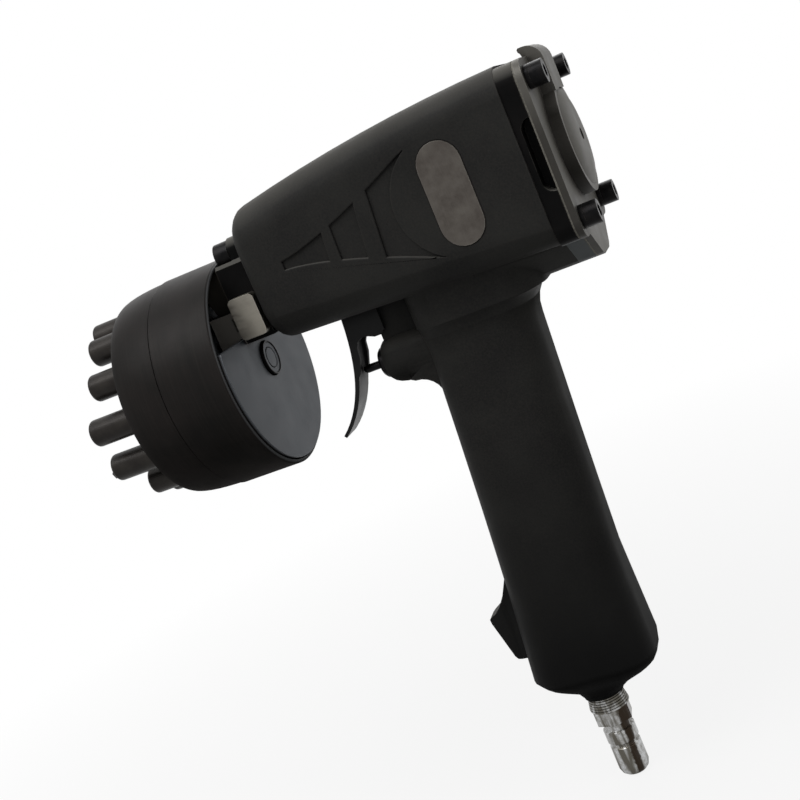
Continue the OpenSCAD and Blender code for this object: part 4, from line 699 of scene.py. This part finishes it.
def panel_rims(mesh, sharp):
    """Splits the rims of the panels and gives the lengths that keep clear of the open ends."""
    bmesh.ops.bisect_edges(mesh, edges=[e for e in sharp if on_panel_rim(e)], cuts=rim_cuts)
    rims = {e for e in mesh.edges if e.is_manifold and e.calc_face_angle(0) > rim_turn and on_panel_rim(e)}
    ends = [v.co for e in rims for v in e.verts if len(rims.intersection(v.link_edges)) == 1]
    return [e for e in rims
            if all(((e.verts[0].co + e.verts[1].co) / 2 - end).length > tip_gap for end in ends)]


dressed["housing"] = dress("housing", 0.6, "housing_black", segments=3, chosen=panel_rims)
print("housing faces:", len(dressed["housing"].data.polygons))

# %% [markdown]
# A nipple is screwed in until it is tight, so its hexagon stops at any angle. In the picture one
# corner faces right of the viewer. The dressed nipple is round apart from that hexagon, so its mesh
# is simply turned about its own axis.

# %% Nipple turned to its angle
nipple_turn = math.radians(-22)
to_axis = Matrix.Translation((nipple_x, 0, 0))
dressed["air_nipple"].data.transform(to_axis @ Matrix.Rotation(nipple_turn, 4, "Z") @ to_axis.inverted())
print("nipple axis at x in mm:", round(nipple_x / MM, 2))

# %% [markdown]
# Each punch carries one raised figure, cut in mirror so that its mark reads right. A text object makes
# the figure with its thickness. It is turned into a mesh first and then placed, so that the piece
# sits at the origin like every other. The figure's top points away from the drum's axis, because the
# punch at work is always the uppermost one.

# %% Figures on the punch tips
figures = "1234567890-."
figure_height = 6.0 * MM
font_size = figure_height * 1.4   # a font's size is about 1.4 times the height of its figures
figure_rise = 0.5 * MM
figure_edge = 0.12 * MM
drum_axis_z = (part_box("drum")[0].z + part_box("drum")[1].z) / 2
for count, figure in enumerate(figures):
    punch = "punch_%02d" % (count + 1)
    low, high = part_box(punch)
    middle = (low + high) / 2
    words = bpy.data.curves.new(punch + "_figure", "FONT")
    words.body = figure
    words.size = font_size
    words.align_x = "CENTER"
    words.align_y = "CENTER"
    words.extrude = figure_rise
    words.bevel_depth = figure_edge
    text = bpy.data.objects.new(punch + "_text", words)
    in_scene.link(text)
    bpy.context.view_layer.update()
    data = bpy.data.meshes.new_from_object(text)
    bpy.data.objects.remove(text)
    outward = Vector((0, middle.y, middle.z - drum_axis_z)).normalized()
    across = outward.cross(Vector((1, 0, 0)))
    turn = Matrix((across, outward, across.cross(outward))).transposed().to_4x4()
    centre = sum((Vector(v.co) for v in data.vertices), Vector()) / len(data.vertices)
    tip = Vector((low.x, middle.y, middle.z))
    data.transform(Matrix.Translation(tip) @ turn @ Matrix.Translation(-centre))
    put(punch + "_figure", data, "punch_steel", punch)
print("figures:", len(figures))

# %% [markdown]
# Between the grip and the hexagon a few turns of the nipple's thread show. It is a taper thread, so
# that it seals as it tightens, and widens towards the hexagon. A thread can be a helix, but at this
# size plain ridges look the same and are simpler: one tooth profile with a flat crest is drawn as
# four vertices and spun once round the nipple, and each turn is that ring moved down by the pitch
# and out by the taper.


# %% Thread on the nipple
def spin_section(mesh, places, centre, axis):
    """Joins the corners of a section into a loop and spins it once round an axis."""
    corners = [mesh.verts.new(place) for place in places]
    edges = [mesh.edges.new((corners[i], corners[(i + 1) % len(corners)])) for i in range(len(corners))]
    bmesh.ops.spin(mesh, geom=corners + edges, cent=centre, axis=axis, angle=math.tau, steps=spin_steps,
                   use_merge=True)


spin_steps = 64
thread_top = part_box("housing")[0].z
thread_crest = 7.2 * MM
thread_depth = 0.3 * MM
thread_turns = 6
pitch = 1.0 * MM
taper = 0.2 * MM   # how much wider each turn is than the one above
half_root, half_crest = pitch * 0.48, pitch * 0.34
mesh = bmesh.new()
for turn in range(thread_turns):
    z = thread_top - pitch * (turn + 0.5)
    crest = thread_crest + taper * turn
    root = crest - thread_depth
    profile = [(root, z + half_root), (crest, z + half_crest), (crest, z - half_crest), (root, z - half_root)]
    spin_section(mesh, [(nipple_x + r, 0, level) for r, level in profile], (nipple_x, 0, 0), (0, 0, 1))
bmesh.ops.recalc_face_normals(mesh, faces=mesh.faces)
thread = put("nipple_thread", to_data("nipple_thread", mesh), "nipple_chrome", "frame")
print("thread faces:", len(thread.data.polygons))

# %% [markdown]
# A black ring stands round the axle's nut; its black is painted shade for the nut's side wall. Its square
# section of four corners is spun once round the axle, and the edges are then rounded. The nut and the axle's
# end fill the ring almost to its rim, so the rear faces of both dressed pieces are moved out to there.

# %% Ring round the axle nut
low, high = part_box("axle_nut")
nut_z = (low.z + high.z) / 2
ring_outer = (high.z - low.z) / 2 + 0.1 * MM
ring_inner = ring_outer - 0.5 * MM
ring_front = high.x - 0.2 * MM
ring_rear = high.x + 1.3 * MM
ring_edge = 0.15 * MM
rim_angle, crease_angle = math.radians(60), math.radians(30)
face_depth = 0.35 * MM   # how far the nut's face lies inside the ring
face_zone = 0.6 * MM     # what lies this close to a rear face moves with it
for name in ("axle_nut", "drum_axle"):
    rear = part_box(name)[1].x
    for vert in dressed[name].data.vertices:
        if vert.co.x > rear - face_zone:
            vert.co.x += ring_rear - face_depth - rear
mesh = bmesh.new()
section = [(ring_front, ring_inner), (ring_rear, ring_inner), (ring_rear, ring_outer), (ring_front, ring_outer)]
spin_section(mesh, [(x, 0, nut_z + r) for x, r in section], (0, 0, nut_z), (1, 0, 0))
bmesh.ops.recalc_face_normals(mesh, faces=mesh.faces)
rims = [e for e in mesh.edges if e.calc_face_angle(0) > rim_angle]
bmesh.ops.bevel(mesh, geom=rims, offset=ring_edge, offset_type="OFFSET", affect="EDGES", segments=2,
                profile=0.5, material=-1)
for face in mesh.faces:
    face.smooth = True
data = to_data("nut_shade_ring", mesh)
data.set_sharp_from_angle(angle=crease_angle)
put("nut_shade_ring", data, "screw_steel", "frame")
print("ring faces:", len(data.polygons))

# %% [markdown]
# Three springs lie inside: behind the striker, in the valve and behind the detent ball. Each is fixed at one
# end and shortens as its joint moves, so a stiff copy would poke through what pushes it. Here each only gets
# a welded copy with a mesh of its own.

# %% Springs, each with its own mesh
for joint in frame["record"]["behaviour"]["joints"]:
    for spring in joint.get("deforming_nodes", []):
        low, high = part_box(spring["node"])
        piece = dress(spring["node"], 0, slot_of[spring["node"]])
        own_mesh(piece)

# %% [markdown]
# The tool hangs over a sheet of pale studio paper. To the camera and in reflections the paper is
# almost white, and fully white away from the tool, so that the background is clean. To all other
# light it is a matt grey that takes the tool's shadow and throws little light back up at the black.


# %% Pale floor
def seen_rays(tree):
    """1 for rays that reach the camera straight, by reflection or through glass, and 0 for the rest."""
    rays = add(tree, "ShaderNodeLightPath").outputs
    seen = rays["Is Camera Ray"]
    for kind in ("Is Glossy Ray", "Is Transmission Ray"):
        seen = add(tree, "ShaderNodeMath", {0: seen, 1: rays[kind]}, operation="MAXIMUM")
    return seen


floor_z = cad_box[0].z - 0.5 * MM
floor_half = 4   # metres from the paper's middle to its sides
shadow_middle = (0.12, 0.05, 0.0)
floor_mesh = bmesh.new()
bmesh.ops.create_grid(floor_mesh, x_segments=1, y_segments=1, size=floor_half)
bmesh.ops.translate(floor_mesh, verts=floor_mesh.verts, vec=(0.1, 0, floor_z))
floor = bpy.data.objects.new("floor", to_data("floor", floor_mesh))
in_scene.link(floor)
paper, tree, matt, place = start_finish("pale_studio_paper")
feed(matt, {"Base Color": "#a0a09e", "Roughness": 0.9, "Specular IOR Level": 0.1})
away = add(tree, "ShaderNodeVectorMath", {0: place, 1: shadow_middle}, operation="DISTANCE")
share = add(tree, "ShaderNodeMapRange", {"Value": away, "From Min": 0.15, "From Max": 0.6,
                                         "To Min": 0.85, "To Max": 1.0})
mostly = add(tree, "ShaderNodeMath", {0: seen_rays(tree), 1: share}, operation="MULTIPLY")
white = add(tree, "ShaderNodeEmission", {"Color": (1, 1, 1, 1), "Strength": 1.0})
blend = add(tree, "ShaderNodeMixShader", {0: mostly, 1: matt, 2: white})
feed(tree.nodes["Material Output"], {"Surface": blend})
floor.data.materials.append(paper)
print("floor at z in mm:", round(floor_z / MM, 1))

# %% [markdown]
# The world is white to the camera and to reflections, and a dark grey to everything else, so that it
# closes the background without washing out the black.

# %% World
world = bpy.data.worlds.new("studio")
bpy.context.scene.world = world
world.use_nodes = True
tree = world.node_tree
level = add(tree, "ShaderNodeMapRange", {"Value": seen_rays(tree), "To Min": 0.1, "To Max": 1.0})
feed(tree.nodes["Background"], {"Color": (1, 1, 1, 1), "Strength": level})
print("world:", len(tree.nodes), "nodes")

# %% [markdown]
# The light is soft, as in a studio. A large lamp above and to the front is the key, a weaker one
# behind fills the shadows, a third lights the far side and the top edge, and a small one beside the
# viewer reaches into the drum.

# %% Lamps
target = Vector((0.12, 0, -0.08))
lamps = {
    # name: place, size in metres, power in watts
    "key_above": ((-0.1, -0.36, 0.6), 0.5, 5.5),
    "fill_behind": ((0.9, -0.3, 0.4), 0.6, 2.2),
    "far_side": ((0.1, 0.7, 0.6), 0.7, 3.0),
    "front_fill": ((0.36, -0.74, 0.06), 0.3, 0.6),
}
for name, (spot, size, power) in lamps.items():
    lamp = bpy.data.lights.new(name, "AREA")
    lamp.shape = "SQUARE"
    lamp.size = size
    lamp.energy = power
    holder = bpy.data.objects.new(name, lamp)
    holder.location = spot
    holder.rotation_euler = (target - Vector(spot)).to_track_quat("-Z", "Y").to_euler()
    in_scene.link(holder)
print("lamps:", len(lamps))
